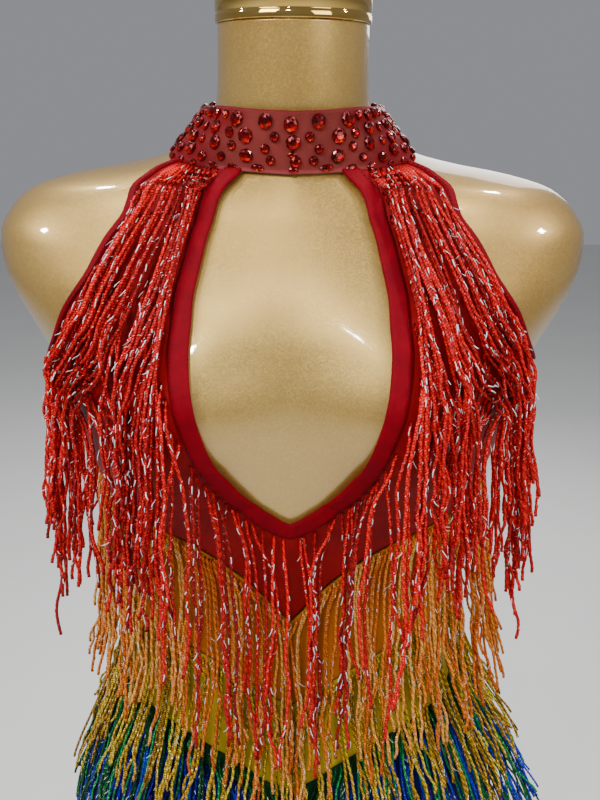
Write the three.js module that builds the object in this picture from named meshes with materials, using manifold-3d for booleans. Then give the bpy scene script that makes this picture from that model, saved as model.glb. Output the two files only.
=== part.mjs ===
// A rainbow fringe bodysuit worn by a limbless gold dress form on a low counter stand.
// Millimetres, +Z up, the wearer's front faces -Y. The origin is on the floor under the stand.
import * as THREE from 'three';
import Module from 'manifold-3d';

const wasm = await Module();
wasm.setup();

// ---------------------------------------------------------------- driving dimensions
const waistHeight = 520; // floor to waist
const clothGap = 1.9; // form to the inside of the cloth
const clothThickness = 1.1;
const clothOutside = clothGap + clothThickness;
const seamGap = 1.0; // between neighbouring panels, measured down the body
const layGap = 0.4; // between a piece and what is laid on it
const bindingWidth = 11;
const bindingThickness = 1.2;
const armBindingWidth = 6;
const collarThickness = 1.4;
const stoneHeight = 3.0;
const tape = { width: 4, thickness: 1.0, lift: clothOutside + 0.9 };
const cordRadius = 1.35;
const cordLift = tape.lift + tape.thickness + cordRadius + 0.2;
const cordStep = 4; // distance between one layer of fringe and the next
const base = { halfLength: 230, halfWidth: 165, thickness: 8, bevel: 2 };
const rod = { radius: 7, apart: 75, depth: 32, clearance: 0.3 };
const neckTop = 421;
const capTop = 452;
const capShape = { wide: 1.03, narrow: 0.96, bevel: 4 }; // wide and narrow are shares of the neck
const bowlDepth = 85; // the rounded underside of the form
const formSides = 32;

// Rings of the form, low to high: height above the waist, half width, depth to the front
// and to the back of a centre that is shifted back by "shift", and squareness.
const formRings = [
  { up: -185, half: 168, front: 98, back: 108, shift: 5, square: 2.2 },
  { up: -140, half: 159, front: 97, back: 105, shift: 4, square: 2.2 },
  { up: -90, half: 141, front: 93, back: 94, shift: 2, square: 2.2 },
  { up: -40, half: 124, front: 89, back: 82, shift: 0, square: 2.2 },
  { up: 0, half: 119, front: 88, back: 77, shift: 0, square: 2.2 },
  { up: 40, half: 121, front: 89, back: 77, shift: 0, square: 2.2 },
  { up: 80, half: 128, front: 93, back: 80, shift: 0, square: 2.2 },
  { up: 120, half: 138, front: 99, back: 85, shift: 0, square: 2.25 },
  { up: 150, half: 147, front: 105, back: 89, shift: 0, square: 2.3 },
  { up: 175, half: 154, front: 109, back: 92, shift: 0, square: 2.3 },
  { up: 195, half: 161, front: 110, back: 94, shift: 0, square: 2.35 },
  { up: 225, half: 178, front: 106, back: 95, shift: 0, square: 2.35 },
  { up: 255, half: 195.5, front: 97, back: 92, shift: 1, square: 2.3 },
  { up: 270, half: 201, front: 91, back: 89, shift: 2, square: 2.2 },
  { up: 287, half: 203, front: 83, back: 85, shift: 3, square: 2.05 },
  { up: 305, half: 194, front: 75, back: 80, shift: 4, square: 1.85 },
  { up: 318, half: 178, front: 69, back: 75, shift: 4, square: 1.65 },
  { up: 328, half: 145, front: 64, back: 70, shift: 4, square: 1.5 },
  { up: 334, half: 112, front: 61, back: 67, shift: 4, square: 1.5 },
  { up: 341, half: 84, front: 59, back: 64, shift: 3, square: 1.62 },
  { up: 350, half: 66, front: 57, back: 61, shift: 2, square: 1.8 },
  { up: 362, half: 56, front: 54, back: 57, shift: -1, square: 1.95 },
  { up: 375, half: 51, front: 52, back: 54, shift: -5, square: 2 },
  { up: 395, half: 49.5, front: 50, back: 51, shift: -9, square: 2 },
  { up: 421, half: 49, front: 49, back: 49, shift: -12, square: 2 },
];
const bust = { rise: 26, across: 80, up: 182, wide: 52, tall: 58 };

// ---------------------------------------------------------------- curves through tables
// A smooth curve through the named column of a table that never overshoots its points.
function curveThrough(table, key, column) {
  const keys = table.map((row) => row[key]);
  const values = table.map((row) => row[column]);
  const gaps = keys.slice(1).map((k, i) => k - keys[i]);
  const rises = gaps.map((gap, i) => (values[i + 1] - values[i]) / gap);
  const slopes = values.map((_, i) => {
    if (i === 0) return rises[0];
    if (i === values.length - 1) return rises[i - 1];
    if (rises[i - 1] * rises[i] <= 0) return 0;
    const early = 2 * gaps[i] + gaps[i - 1];
    const late = gaps[i] + 2 * gaps[i - 1];
    return (early + late) / (early / rises[i - 1] + late / rises[i]);
  });
  return (at) => {
    const clamped = Math.min(Math.max(at, keys[0]), keys[keys.length - 1]);
    let i = 0;
    while (i < gaps.length - 1 && clamped > keys[i + 1]) i += 1;
    const t = (clamped - keys[i]) / gaps[i];
    const back = 1 - t;
    return values[i] * (1 + 2 * t) * back * back + slopes[i] * gaps[i] * t * back * back
      + values[i + 1] * t * t * (3 - 2 * t) - slopes[i + 1] * gaps[i] * t * t * back;
  };
}

const ringCurves = Object.fromEntries(
  ['half', 'front', 'back', 'shift', 'square'].map((column) => [
    column, curveThrough(formRings, 'up', column),
  ]),
);
const lowestRing = formRings[0].up;
const degrees = Math.PI / 180;

function ringAt(up) {
  const below = Math.max(0, lowestRing - up) / bowlDepth;
  const shrink = Math.sqrt(Math.max(0, 1 - below * below));
  return {
    half: ringCurves.half(up) * shrink,
    front: ringCurves.front(up) * shrink,
    back: ringCurves.back(up) * shrink,
    shift: ringCurves.shift(up),
    square: ringCurves.square(up),
  };
}

// A point of the form's skin: "turn" is in degrees round from the centre front, "up" above the waist.
function formPoint(turn, up) {
  const ring = ringAt(up);
  const sine = Math.sin(turn * degrees);
  const cosine = Math.cos(turn * degrees);
  const power = 2 / ring.square;
  const x = ring.half * Math.sign(sine) * Math.abs(sine) ** power;
  const along = Math.sign(cosine) * Math.abs(cosine) ** power;
  if (along <= 0) return new THREE.Vector3(x, ring.shift - ring.back * along, waistHeight + up);
  const sideways = (Math.abs(x) - bust.across) / bust.wide;
  const upward = (up - bust.up) / bust.tall;
  const swell = bust.rise * Math.exp(-sideways * sideways - upward * upward);
  const y = ring.shift - ring.front * along - swell * Math.min(1, along * 1.6);
  return new THREE.Vector3(x, y, waistHeight + up);
}

function outward(turn, up) {
  const step = 1.5;
  const acrossBody = formPoint(turn + step, up).sub(formPoint(turn - step, up));
  const upBody = formPoint(turn, up + step).sub(formPoint(turn, up - step));
  return acrossBody.cross(upBody).normalize();
}

function raised(turn, up, lift) {
  return formPoint(turn, up).addScaledVector(outward(turn, up), lift);
}

// ---------------------------------------------------------------- closed shapes
function closedMesh(points, faces) {
  const geometry = new THREE.BufferGeometry();
  const numbers = points.flatMap((p) => [p.x, p.y, p.z]);
  geometry.setAttribute('position', new THREE.Float32BufferAttribute(numbers, 3));
  geometry.setIndex(faces.flat());
  return geometry;
}

// A wall between an outer and an inner grid of points, closed along its four edges.
// Columns run to the wearer's left (+X) and rows run down.
function wall(outer, inner) {
  const rows = outer.length;
  const columns = outer[0].length;
  const points = [...outer.flat(), ...inner.flat()];
  const faces = [];
  const out = (r, c) => r * columns + c;
  const inn = (r, c) => rows * columns + r * columns + c;
  const quad = (a, b, c, d) => faces.push([a, b, c], [a, c, d]);
  for (let r = 0; r < rows - 1; r += 1) {
    for (let c = 0; c < columns - 1; c += 1) {
      quad(out(r, c), out(r + 1, c), out(r + 1, c + 1), out(r, c + 1));
      quad(inn(r, c), inn(r, c + 1), inn(r + 1, c + 1), inn(r + 1, c));
    }
  }
  for (let c = 0; c < columns - 1; c += 1) {
    quad(out(0, c), out(0, c + 1), inn(0, c + 1), inn(0, c));
    quad(out(rows - 1, c + 1), out(rows - 1, c), inn(rows - 1, c), inn(rows - 1, c + 1));
  }
  for (let r = 0; r < rows - 1; r += 1) {
    quad(out(r + 1, 0), out(r, 0), inn(r, 0), inn(r + 1, 0));
    quad(out(r, columns - 1), out(r + 1, columns - 1), inn(r + 1, columns - 1), inn(r, columns - 1));
  }
  return closedMesh(points, faces);
}

// A wall over spots of the body: spot(row, column) gives turn, up and an extra lift.
function bodyWall(rows, columns, spot, gap = clothGap, thickness = clothThickness) {
  const grid = (lift) => Array.from({ length: rows }, (_, r) => Array.from({ length: columns }, (__, c) => {
    const { turn, up, extra = 0 } = spot(r, c);
    return raised(turn, up, lift + extra);
  }));
  return wall(grid(gap + thickness), grid(gap));
}

// Rings of points joined into a tube and closed at both ends by a fan.
function closedTube(rings) {
  const sides = rings[0].length;
  const points = rings.flat();
  const faces = [];
  for (let r = 0; r < rings.length - 1; r += 1) {
    for (let s = 0; s < sides; s += 1) {
      const a = r * sides + s;
      const b = r * sides + ((s + 1) % sides);
      faces.push([a, b, b + sides], [a, b + sides, a + sides]);
    }
  }
  const last = (rings.length - 1) * sides;
  const middle = (ring) => ring.reduce((sum, p) => sum.add(p), new THREE.Vector3()).divideScalar(sides);
  points.push(middle(rings[0]), middle(rings[rings.length - 1]));
  for (let s = 0; s < sides; s += 1) {
    const next = (s + 1) % sides;
    faces.push([points.length - 2, next, s], [points.length - 1, last + s, last + next]);
  }
  return closedMesh(points, faces);
}

function toSolid(geometry) {
  const vertProperties = Float32Array.from(geometry.getAttribute('position').array);
  const triVerts = Uint32Array.from(geometry.index.array);
  return new wasm.Manifold(new wasm.Mesh({ numProp: 3, vertProperties, triVerts }));
}

function fromSolid(solid) {
  const { vertProperties, triVerts } = solid.getMesh();
  const geometry = new THREE.BufferGeometry();
  geometry.setAttribute('position', new THREE.Float32BufferAttribute(vertProperties, 3));
  geometry.setIndex(Array.from(triVerts));
  return geometry;
}

// ---------------------------------------------------------------- materials
function paint(color, roughness, metalness = 0) {
  return new THREE.MeshStandardMaterial({ color, roughness, metalness });
}
const materials = {
  gold: paint(0xcbbb84, 0.28, 0.55),
  mirror: paint(0xd9b25a, 0.05, 1),
  steel: paint(0xb9babd, 0.3, 1),
  collarNet: paint(0x8e3038, 0.7),
  redNet: paint(0x7c1014, 0.75),
  binding: paint(0xab131f, 0.7),
  red: paint(0xd0301f, 0.6),
  orange: paint(0xdb8034, 0.6),
  yellow: paint(0xc2a128, 0.5),
  green: paint(0x146b40, 0.5),
  blue: paint(0x1928bc, 0.5),
  purple: paint(0x451f8c, 0.5),
};

const model = new THREE.Group();
function add(name, geometry, material) {
  const mesh = new THREE.Mesh(geometry, materials[material]);
  mesh.name = name;
  model.add(mesh);
}

// ---------------------------------------------------------------- dress form and stand
function formBody() {
  const bowlRings = [0.995, 0.93, 0.8, 0.58, 0.3].map((share) => lowestRing - bowlDepth * share);
  const heights = [...bowlRings, ...formRings.map((ring) => ring.up), 240, 210];
  heights.sort((a, b) => a - b);
  const rings = heights.map((up) => (
    Array.from({ length: formSides }, (_, s) => formPoint((s * 360) / formSides, up))
  ));
  return closedTube(rings);
}

function upright(x, radius, bottom, top) {
  const sides = 16;
  const y = ringCurves.shift(lowestRing);
  const ring = (z) => Array.from({ length: sides }, (_, s) => {
    const angle = (s * 2 * Math.PI) / sides;
    return new THREE.Vector3(x + radius * Math.cos(angle), y + radius * Math.sin(angle), z);
  });
  return closedTube([ring(bottom), ring(top)]);
}

function undersideUp(x, y) {
  const ring = ringAt(lowestRing);
  const depth = y < ring.shift ? ring.front : ring.back;
  const reach = ((Math.abs(x) / ring.half) ** ring.square + (Math.abs(y - ring.shift) / depth) ** ring.square)
    ** (1 / ring.square);
  return lowestRing - bowlDepth * Math.sqrt(Math.max(0, 1 - reach * reach));
}

function buildForm() {
  const rodTop = waistHeight + undersideUp(rod.apart, ringCurves.shift(lowestRing)) + rod.depth;
  let body = toSolid(formBody());
  for (const side of [-1, 1]) {
    const x = side * rod.apart;
    const bore = upright(x, rod.radius + rod.clearance, waistHeight - 400, rodTop + rod.clearance);
    body = body.subtract(toSolid(bore));
    const name = side < 0 ? 'rod_right' : 'rod_left';
    add(name, upright(x, rod.radius, base.thickness + rod.clearance, rodTop), 'steel');
  }
  add('form', fromSolid(body), 'gold');
  const capRing = (up, grow) => Array.from({ length: formSides }, (_, s) => {
    const p = formPoint((s * 360) / formSides, neckTop);
    const shift = ringCurves.shift(neckTop);
    return new THREE.Vector3(p.x * grow, shift + (p.y - shift) * grow, waistHeight + up);
  });
  const foot = neckTop + rod.clearance;
  const { wide, narrow, bevel } = capShape;
  const capRings = [capRing(foot, wide), capRing(capTop - bevel, wide), capRing(capTop, narrow)];
  add('neck_cap', closedTube(capRings), 'mirror');
  const plate = (z, inset) => Array.from({ length: formSides }, (_, s) => {
    const angle = (s * 2 * Math.PI) / formSides;
    return new THREE.Vector3(
      (base.halfLength - inset) * Math.cos(angle), (base.halfWidth - inset) * Math.sin(angle), z,
    );
  });
  const shoulder = base.thickness - base.bevel;
  const plateRings = [plate(0, 0), plate(shoulder, 0), plate(base.thickness, base.bevel)];
  add('base_plate', closedTube(plateRings), 'steel');
}

// ---------------------------------------------------------------- collar
// The collar's two edges, from the centre front (turn 0) to the nape (turn 180).
const collarEdges = [
  { turn: 0, bottom: 331, top: 370 },
  { turn: 20, bottom: 332.2, top: 370.5 },
  { turn: 50, bottom: 336, top: 372 },
  { turn: 75, bottom: 345, top: 374 },
  { turn: 90, bottom: 349, top: 375 },
  { turn: 120, bottom: 351, top: 377 },
  { turn: 180, bottom: 352, top: 380 },
];
const collarBottom = curveThrough(collarEdges, 'turn', 'bottom');
const collarTop = curveThrough(collarEdges, 'turn', 'top');
const collarSlit = 2; // degrees left open each side of the nape
const collarColumns = 37;
const collarRows = 5;

function collarPoint(turn, down, lift) {
  const side = Math.abs(turn);
  const low = raised(turn, collarBottom(side), clothGap + 0.6 + lift);
  const high = raised(turn, collarTop(side), 4.5 + lift);
  return high.lerp(low, down);
}

// Two staggered rows of large stones across the front: odd rows of the grid, every other column.
function stoneAt(row, column) {
  const fromFront = Math.abs(column - (collarColumns - 1) / 2);
  const staggered = (fromFront + (row === 3 ? 1 : 0)) % 2 === 0;
  return row % 2 === 1 && staggered && fromFront < 13;
}

function buildCollar() {
  const grid = (lift, stones) => Array.from({ length: collarRows }, (_, r) => (
    Array.from({ length: collarColumns }, (__, c) => {
      const turn = (c / (collarColumns - 1) - 0.5) * 2 * (180 - collarSlit);
      const stone = stones && stoneAt(r, c) ? stoneHeight : 0;
      return collarPoint(turn, r / (collarRows - 1), lift + stone);
    })
  ));
  add('collar', wall(grid(collarThickness, true), grid(0, false)), 'collarNet');
  const hook = (lift) => [0.25, 0.75].map((down) => [-1, -0.33, 0.33, 1].map((share) => (
    collarPoint(180 + share * 7 - (share > 0 ? 360 : 0), down, lift)
  )));
  const lift = collarThickness + layGap;
  add('nape_hook', wall(hook(lift + 1.5), hook(lift)), 'steel');
}

// ---------------------------------------------------------------- halter front
// Half of the halter, cut by lines from the keyhole's edge (inner) to the armhole, the side
// seam and the hem (outer), from the collar round to the centre front under the keyhole.
const halterCuts = [
  { cut: 0, innerTurn: 19.5, innerUp: 331.3, outerTurn: 50, outerUp: 335 },
  { cut: 1, innerTurn: 17.6, innerUp: 317, outerTurn: 42.5, outerUp: 324 },
  { cut: 2, innerTurn: 15, innerUp: 299, outerTurn: 34.5, outerUp: 301 },
  { cut: 3, innerTurn: 14.2, innerUp: 274, outerTurn: 37, outerUp: 272 },
  { cut: 4, innerTurn: 14.9, innerUp: 247, outerTurn: 46, outerUp: 246 },
  { cut: 5, innerTurn: 16.5, innerUp: 224, outerTurn: 58, outerUp: 224 },
  { cut: 6, innerTurn: 17.5, innerUp: 200, outerTurn: 74, outerUp: 210 },
  { cut: 7, innerTurn: 17.1, innerUp: 180, outerTurn: 90, outerUp: 204 },
  { cut: 8, innerTurn: 15, innerUp: 160, outerTurn: 90, outerUp: 162 },
  { cut: 9, innerTurn: 12.5, innerUp: 149, outerTurn: 90, outerUp: 121 },
  { cut: 10, innerTurn: 10.6, innerUp: 140, outerTurn: 72, outerUp: 115 },
  { cut: 11, innerTurn: 8.8, innerUp: 133, outerTurn: 54, outerUp: 107 },
  { cut: 12, innerTurn: 7, innerUp: 127, outerTurn: 41, outerUp: 101 },
  { cut: 13, innerTurn: 5.2, innerUp: 122, outerTurn: 29, outerUp: 92 },
  { cut: 14, innerTurn: 3.4, innerUp: 118, outerTurn: 18, outerUp: 80 },
  { cut: 15, innerTurn: 1.7, innerUp: 114, outerTurn: 8.5, outerUp: 59 },
  { cut: 16, innerTurn: 0, innerUp: 111, outerTurn: 0, outerUp: 34 },
];
const halterCurves = Object.fromEntries(
  ['innerTurn', 'innerUp', 'outerTurn', 'outerUp'].map((column) => [
    column, curveThrough(halterCuts, 'cut', column),
  ]),
);
const lastCut = halterCuts.length - 1;
const hemCut = 9; // from this cut on, the outer edge is the hem
const hemGap = 1.2;
const keyholeLastCut = 12;
const underarmCut = 7;
const armholeRows = halterCuts.filter((row) => row.cut <= underarmCut).reverse();
const armholeTurn = curveThrough(armholeRows, 'outerUp', 'outerTurn');
const lowerArmhole = halterCuts.filter((row) => row.cut >= 2 && row.cut <= underarmCut);
const armholeUp = curveThrough(lowerArmhole, 'outerTurn', 'outerUp');
const underarmUp = armholeRows[0].outerUp;
const keyholeLift = 3.2; // the stretched net stands off the chest along the keyhole

// A spot of the halter's left half: along a cut, "across" from 0 at the keyhole to 1 outside.
function halterSpot(cut, across) {
  const innerTurn = halterCurves.innerTurn(cut);
  const innerUp = halterCurves.innerUp(cut);
  const outerTurn = halterCurves.outerTurn(cut);
  const outerUp = cut > hemCut ? seamUp.red(outerTurn) + hemGap : halterCurves.outerUp(cut);
  const turn = innerTurn + (outerTurn - innerTurn) * across;
  const up = innerUp + (outerUp - innerUp) * across;
  const middle = Math.sin(Math.PI * Math.min(1, cut / keyholeLastCut)) ** 0.5;
  const near = Math.max(0, 1 - across * 2.2);
  return { turn, up, extra: keyholeLift * Math.max(0, middle) * near * near };
}

function cutLength(cut) {
  const count = 8;
  let length = 0;
  let last = null;
  for (let i = 0; i <= count; i += 1) {
    const { turn, up } = halterSpot(cut, i / count);
    const point = formPoint(turn, up);
    if (last) length += point.distanceTo(last);
    last = point;
  }
  return length;
}

// The halter's rows run round the keyhole from the right shoulder to the left one.
const halterSteps = 25;
function halterRow(row) {
  const side = row < halterSteps ? -1 : 1;
  const cut = lastCut * (1 - Math.abs(row - halterSteps) / halterSteps);
  return { side, cut };
}

const halterPanels = 8; // columns between the two bindings
function halterShares(cut) {
  const length = cutLength(cut);
  const first = bindingWidth / length;
  const last = 1 - armBindingWidth / length;
  const shares = [0];
  for (let i = 0; i <= halterPanels; i += 1) shares.push(first + ((last - first) * i) / halterPanels);
  shares.push(1);
  return shares;
}

function halterGridSpot(row, column) {
  const { side, cut } = halterRow(row);
  const spot = halterSpot(cut, halterShares(cut)[column]);
  return { turn: side * spot.turn, up: spot.up, extra: spot.extra };
}

function buildHalter() {
  const rows = 2 * halterSteps + 1;
  const columns = halterPanels + 3;
  const onTop = clothOutside + layGap;
  // The wall's columns run outward from the keyhole, so the rows are taken in reverse.
  const turned = (spot) => (r, c) => spot(rows - 1 - r, c);
  add('halter_front', bodyWall(rows, columns, turned(halterGridSpot)), 'redNet');
  add('keyhole_binding', bodyWall(rows, 2, turned(halterGridSpot), onTop, bindingThickness), 'binding');
  const armRows = Math.round((halterSteps * underarmCut) / lastCut);
  for (const side of [-1, 1]) {
    const start = side < 0 ? 0 : rows - 1 - armRows;
    const spot = (r, c) => halterGridSpot(start + armRows - r, columns - 2 + c);
    const name = side < 0 ? 'armhole_binding_right' : 'armhole_binding_left';
    add(name, bodyWall(armRows + 1, 2, spot, onTop, bindingThickness), 'binding');
  }
}

// ---------------------------------------------------------------- seams round the body
// Heights of the seams between the colours, from the centre front to the centre back.
const seams = [
  { turn: 0, backTop: 204, red: 34, orange: -32, yellow: -101, green: -117, blue: -158, leg: -238 },
  { turn: 6, backTop: 204, red: 52, orange: -23, yellow: -93, green: -109, blue: -151, leg: -238 },
  { turn: 12, backTop: 204, red: 67, orange: -14, yellow: -82, green: -98, blue: -141, leg: -237 },
  { turn: 30, backTop: 204, red: 93, orange: 4, yellow: -64, green: -80, blue: -122, leg: -225 },
  { turn: 54, backTop: 204, red: 107, orange: 14, yellow: -52, green: -68, blue: -107, leg: -188 },
  { turn: 90, backTop: 204, red: 121, orange: 24, yellow: -40, green: -57, blue: -95, leg: -152 },
  { turn: 126, backTop: 190, red: 107, orange: 14, yellow: -50, green: -67, blue: -106, leg: -196 },
  { turn: 150, backTop: 178, red: 93, orange: 4, yellow: -62, green: -79, blue: -120, leg: -230 },
  { turn: 168, backTop: 172, red: 76, orange: -10, yellow: -76, green: -93, blue: -136, leg: -238 },
  { turn: 180, backTop: 170, red: 62, orange: -22, yellow: -88, green: -105, blue: -148, leg: -238 },
];
const seamUp = Object.fromEntries(
  ['backTop', 'red', 'orange', 'yellow', 'green', 'blue', 'leg'].map((name) => [
    name, curveThrough(seams, 'turn', name),
  ]),
);
const bandColumns = formSides / 2 + 1;

const sideSeam = 89.6; // turn of the side seams
const underLift = 0.8; // the brief stands a little further off the rounded underside

// A panel of the front or back between two seams, from side seam to side seam.
function bandSpot(isBack, upper, lower, rows) {
  return (r, c) => {
    const span = sideSeam * (1 - (2 * c) / (bandColumns - 1));
    const turn = isBack ? 180 - span : -span;
    const side = isBack ? 180 - Math.abs(span) : Math.abs(span);
    const top = seamUp[upper](side) - (upper === 'backTop' ? 0 : seamGap);
    const extra = lower === 'leg' ? underLift * (r / (rows - 1)) ** 2 : 0;
    return { turn, up: top + ((seamUp[lower](side) - top) * r) / (rows - 1), extra };
  };
}

function buildBands() {
  const bands = [
    { name: 'orange', upper: 'red', lower: 'orange', rows: 4, material: 'orange' },
    { name: 'yellow', upper: 'orange', lower: 'yellow', rows: 3, material: 'yellow' },
    { name: 'green', upper: 'yellow', lower: 'green', rows: 2, material: 'green' },
    { name: 'blue', upper: 'green', lower: 'blue', rows: 3, material: 'blue' },
    { name: 'brief', upper: 'blue', lower: 'leg', rows: 7, material: 'purple' },
  ];
  for (const { name, upper, lower, rows, material } of bands) {
    for (const isBack of [false, true]) {
      const spot = bandSpot(isBack, upper, lower, rows);
      add(`${name}_${isBack ? 'back' : 'front'}`, bodyWall(rows, bandColumns, spot), material);
    }
  }
  const backRows = 6;
  const spot = bandSpot(true, 'backTop', 'red', backRows);
  // The second row is one binding's width down, so that the binding has the panel's own points.
  const redBack = (r, c) => {
    const top = spot(0, c);
    const bottom = spot(backRows - 1, c);
    const height = top.up - bottom.up;
    const below = (height - armBindingWidth) * ((r - 1) / (backRows - 2));
    const down = r === 0 ? 0 : armBindingWidth + below;
    return { turn: top.turn, up: top.up - down };
  };
  add('back_red', bodyWall(backRows, bandColumns, redBack), 'redNet');
  add('back_binding', bodyWall(2, bandColumns, redBack, clothOutside + layGap, bindingThickness), 'binding');
}

// The crotch gusset lies under the form's rounded underside, between the brief's two points.
function buildGusset() {
  const halfWidth = 40;
  const columns = 7;
  const rows = 9;
  const ring = ringAt(lowestRing);
  const edgeReach = 0.777; // share of the lowest ring's size at the brief's lower edge
  const point = (x, y, lift) => {
    const step = 1;
    const slopeX = (undersideUp(x + step, y) - undersideUp(x - step, y)) / (2 * step);
    const slopeY = (undersideUp(x, y + step) - undersideUp(x, y - step)) / (2 * step);
    const down = new THREE.Vector3(slopeX, slopeY, -1).normalize();
    return new THREE.Vector3(x, y, waistHeight + undersideUp(x, y)).addScaledVector(down, lift);
  };
  const grid = (lift) => Array.from({ length: rows }, (_, r) => Array.from({ length: columns }, (__, c) => {
    const narrow = 1 - 0.2 * Math.sin((Math.PI * r) / (rows - 1));
    const x = halfWidth * narrow * ((2 * c) / (columns - 1) - 1);
    const share = (edgeReach ** ring.square - (Math.abs(x) / ring.half) ** ring.square) ** (1 / ring.square);
    const y = ring.shift - ring.front * share + ((ring.front + ring.back) * share * r) / (rows - 1);
    return point(x, y, lift);
  }));
  add('gusset', wall(grid(clothOutside), grid(clothGap)), 'purple');
}

// ---------------------------------------------------------------- fringe
// Seeded random numbers from 0 to 1, so that every build gives the same strands.
let seed = 20;
function random() {
  seed = (seed + 0x6d2b79f5) | 0;
  let mixed = Math.imul(seed ^ (seed >>> 15), 1 | seed);
  mixed = (mixed + Math.imul(mixed ^ (mixed >>> 7), 61 | mixed)) ^ mixed;
  return ((mixed ^ (mixed >>> 14)) >>> 0) / 4294967296;
}
const between = (low, high) => low + (high - low) * random();
const smoothShare = (t) => {
  const clamped = Math.min(1, Math.max(0, t));
  return clamped * clamped * (3 - 2 * clamped);
};

// The widest point of the body over a stretch above: a strand hangs plumb from there.
function hangFrom(turn, up, top) {
  let best = null;
  let widest = -1;
  for (let level = up; level <= Math.max(up, top) + 0.01; level += 6) {
    const point = formPoint(turn, level);
    const reach = Math.hypot(point.x, point.y);
    if (reach > widest) {
      widest = reach;
      best = { x: point.x, y: point.y, out: outward(turn, level) };
    }
  }
  return best;
}

// Colour rows from the top down; a row hangs over every row rooted below it.
const colourRows = ['red', 'orange', 'yellow', 'green', 'blue'];

const layerStart = 56; // a strand starts to rise over the next row this far above that row's seam
const layerFull = 40; // and is clear of it after this fall

function layersUnder(row, turn, up) {
  const side = Math.abs(turn) > 180 ? 360 - Math.abs(turn) : Math.abs(turn);
  let layers = row.layer;
  for (const seam of colourRows.slice(row.rank)) {
    layers += smoothShare((seamUp[seam](side) + layerStart - up) / layerFull);
  }
  return layers;
}

// Levels that the bends of all strands share, closer together where the body is rounder.
const bendLevels = [
  ...Array.from({ length: 6 }, (_, i) => 300 - 25 * i),
  ...Array.from({ length: 4 }, (_, i) => 130 - 50 * i),
  ...Array.from({ length: 8 }, (_, i) => -60 - 35 * i),
];
const firstDrop = 9; // from a strand's root to its first bend
const shortestStretch = 9;
const steepest = 0.6; // a strand's lift grows on slopes down to this share of a level normal
const riseOver = 13; // fall over which a strand rises from its tape to its layer
const driftPace = 1.6; // a strand is in its lane after the first 1 / driftPace of its fall
const laneSpread = 0.4; // degrees that a strand may miss its lane by

// The points of one strand below its root: it drifts to its lane and hangs to its end.
function strandPath(row, root, lane, endUp) {
  const first = root.up - firstDrop;
  const bends = bendLevels.filter((up) => up < first - shortestStretch && up > endUp + shortestStretch);
  return [first, ...bends, endUp].map((up) => {
    const fallen = (root.up - up) / (root.up - endUp);
    const drifted = root.turn + (lane - root.turn) * smoothShare((fallen * driftPace) ** 0.8);
    const turn = row.hold(drifted, up, lane);
    const hang = hangFrom(turn, up, Math.min(root.up, row.clothTop(turn)));
    const level = Math.max(steepest, Math.hypot(hang.out.x, hang.out.y));
    const away = new THREE.Vector3(hang.out.x, hang.out.y, 0).normalize().divideScalar(level);
    const risen = smoothShare((root.up - up) / riseOver);
    const lift = cordLift + cordStep * risen * layersUnder(row, turn, up) + (root.extra || 0);
    return new THREE.Vector3(hang.x, hang.y, waistHeight + up).addScaledVector(away, lift);
  });
}

// Three points round a centre, in the plane of "down" and "across".
function cordRing(centre, down, across) {
  return [-90, 30, 150].map((angle) => centre.clone()
    .addScaledVector(down, cordRadius * Math.cos(angle * degrees))
    .addScaledVector(across, cordRadius * Math.sin(angle * degrees)));
}

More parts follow.
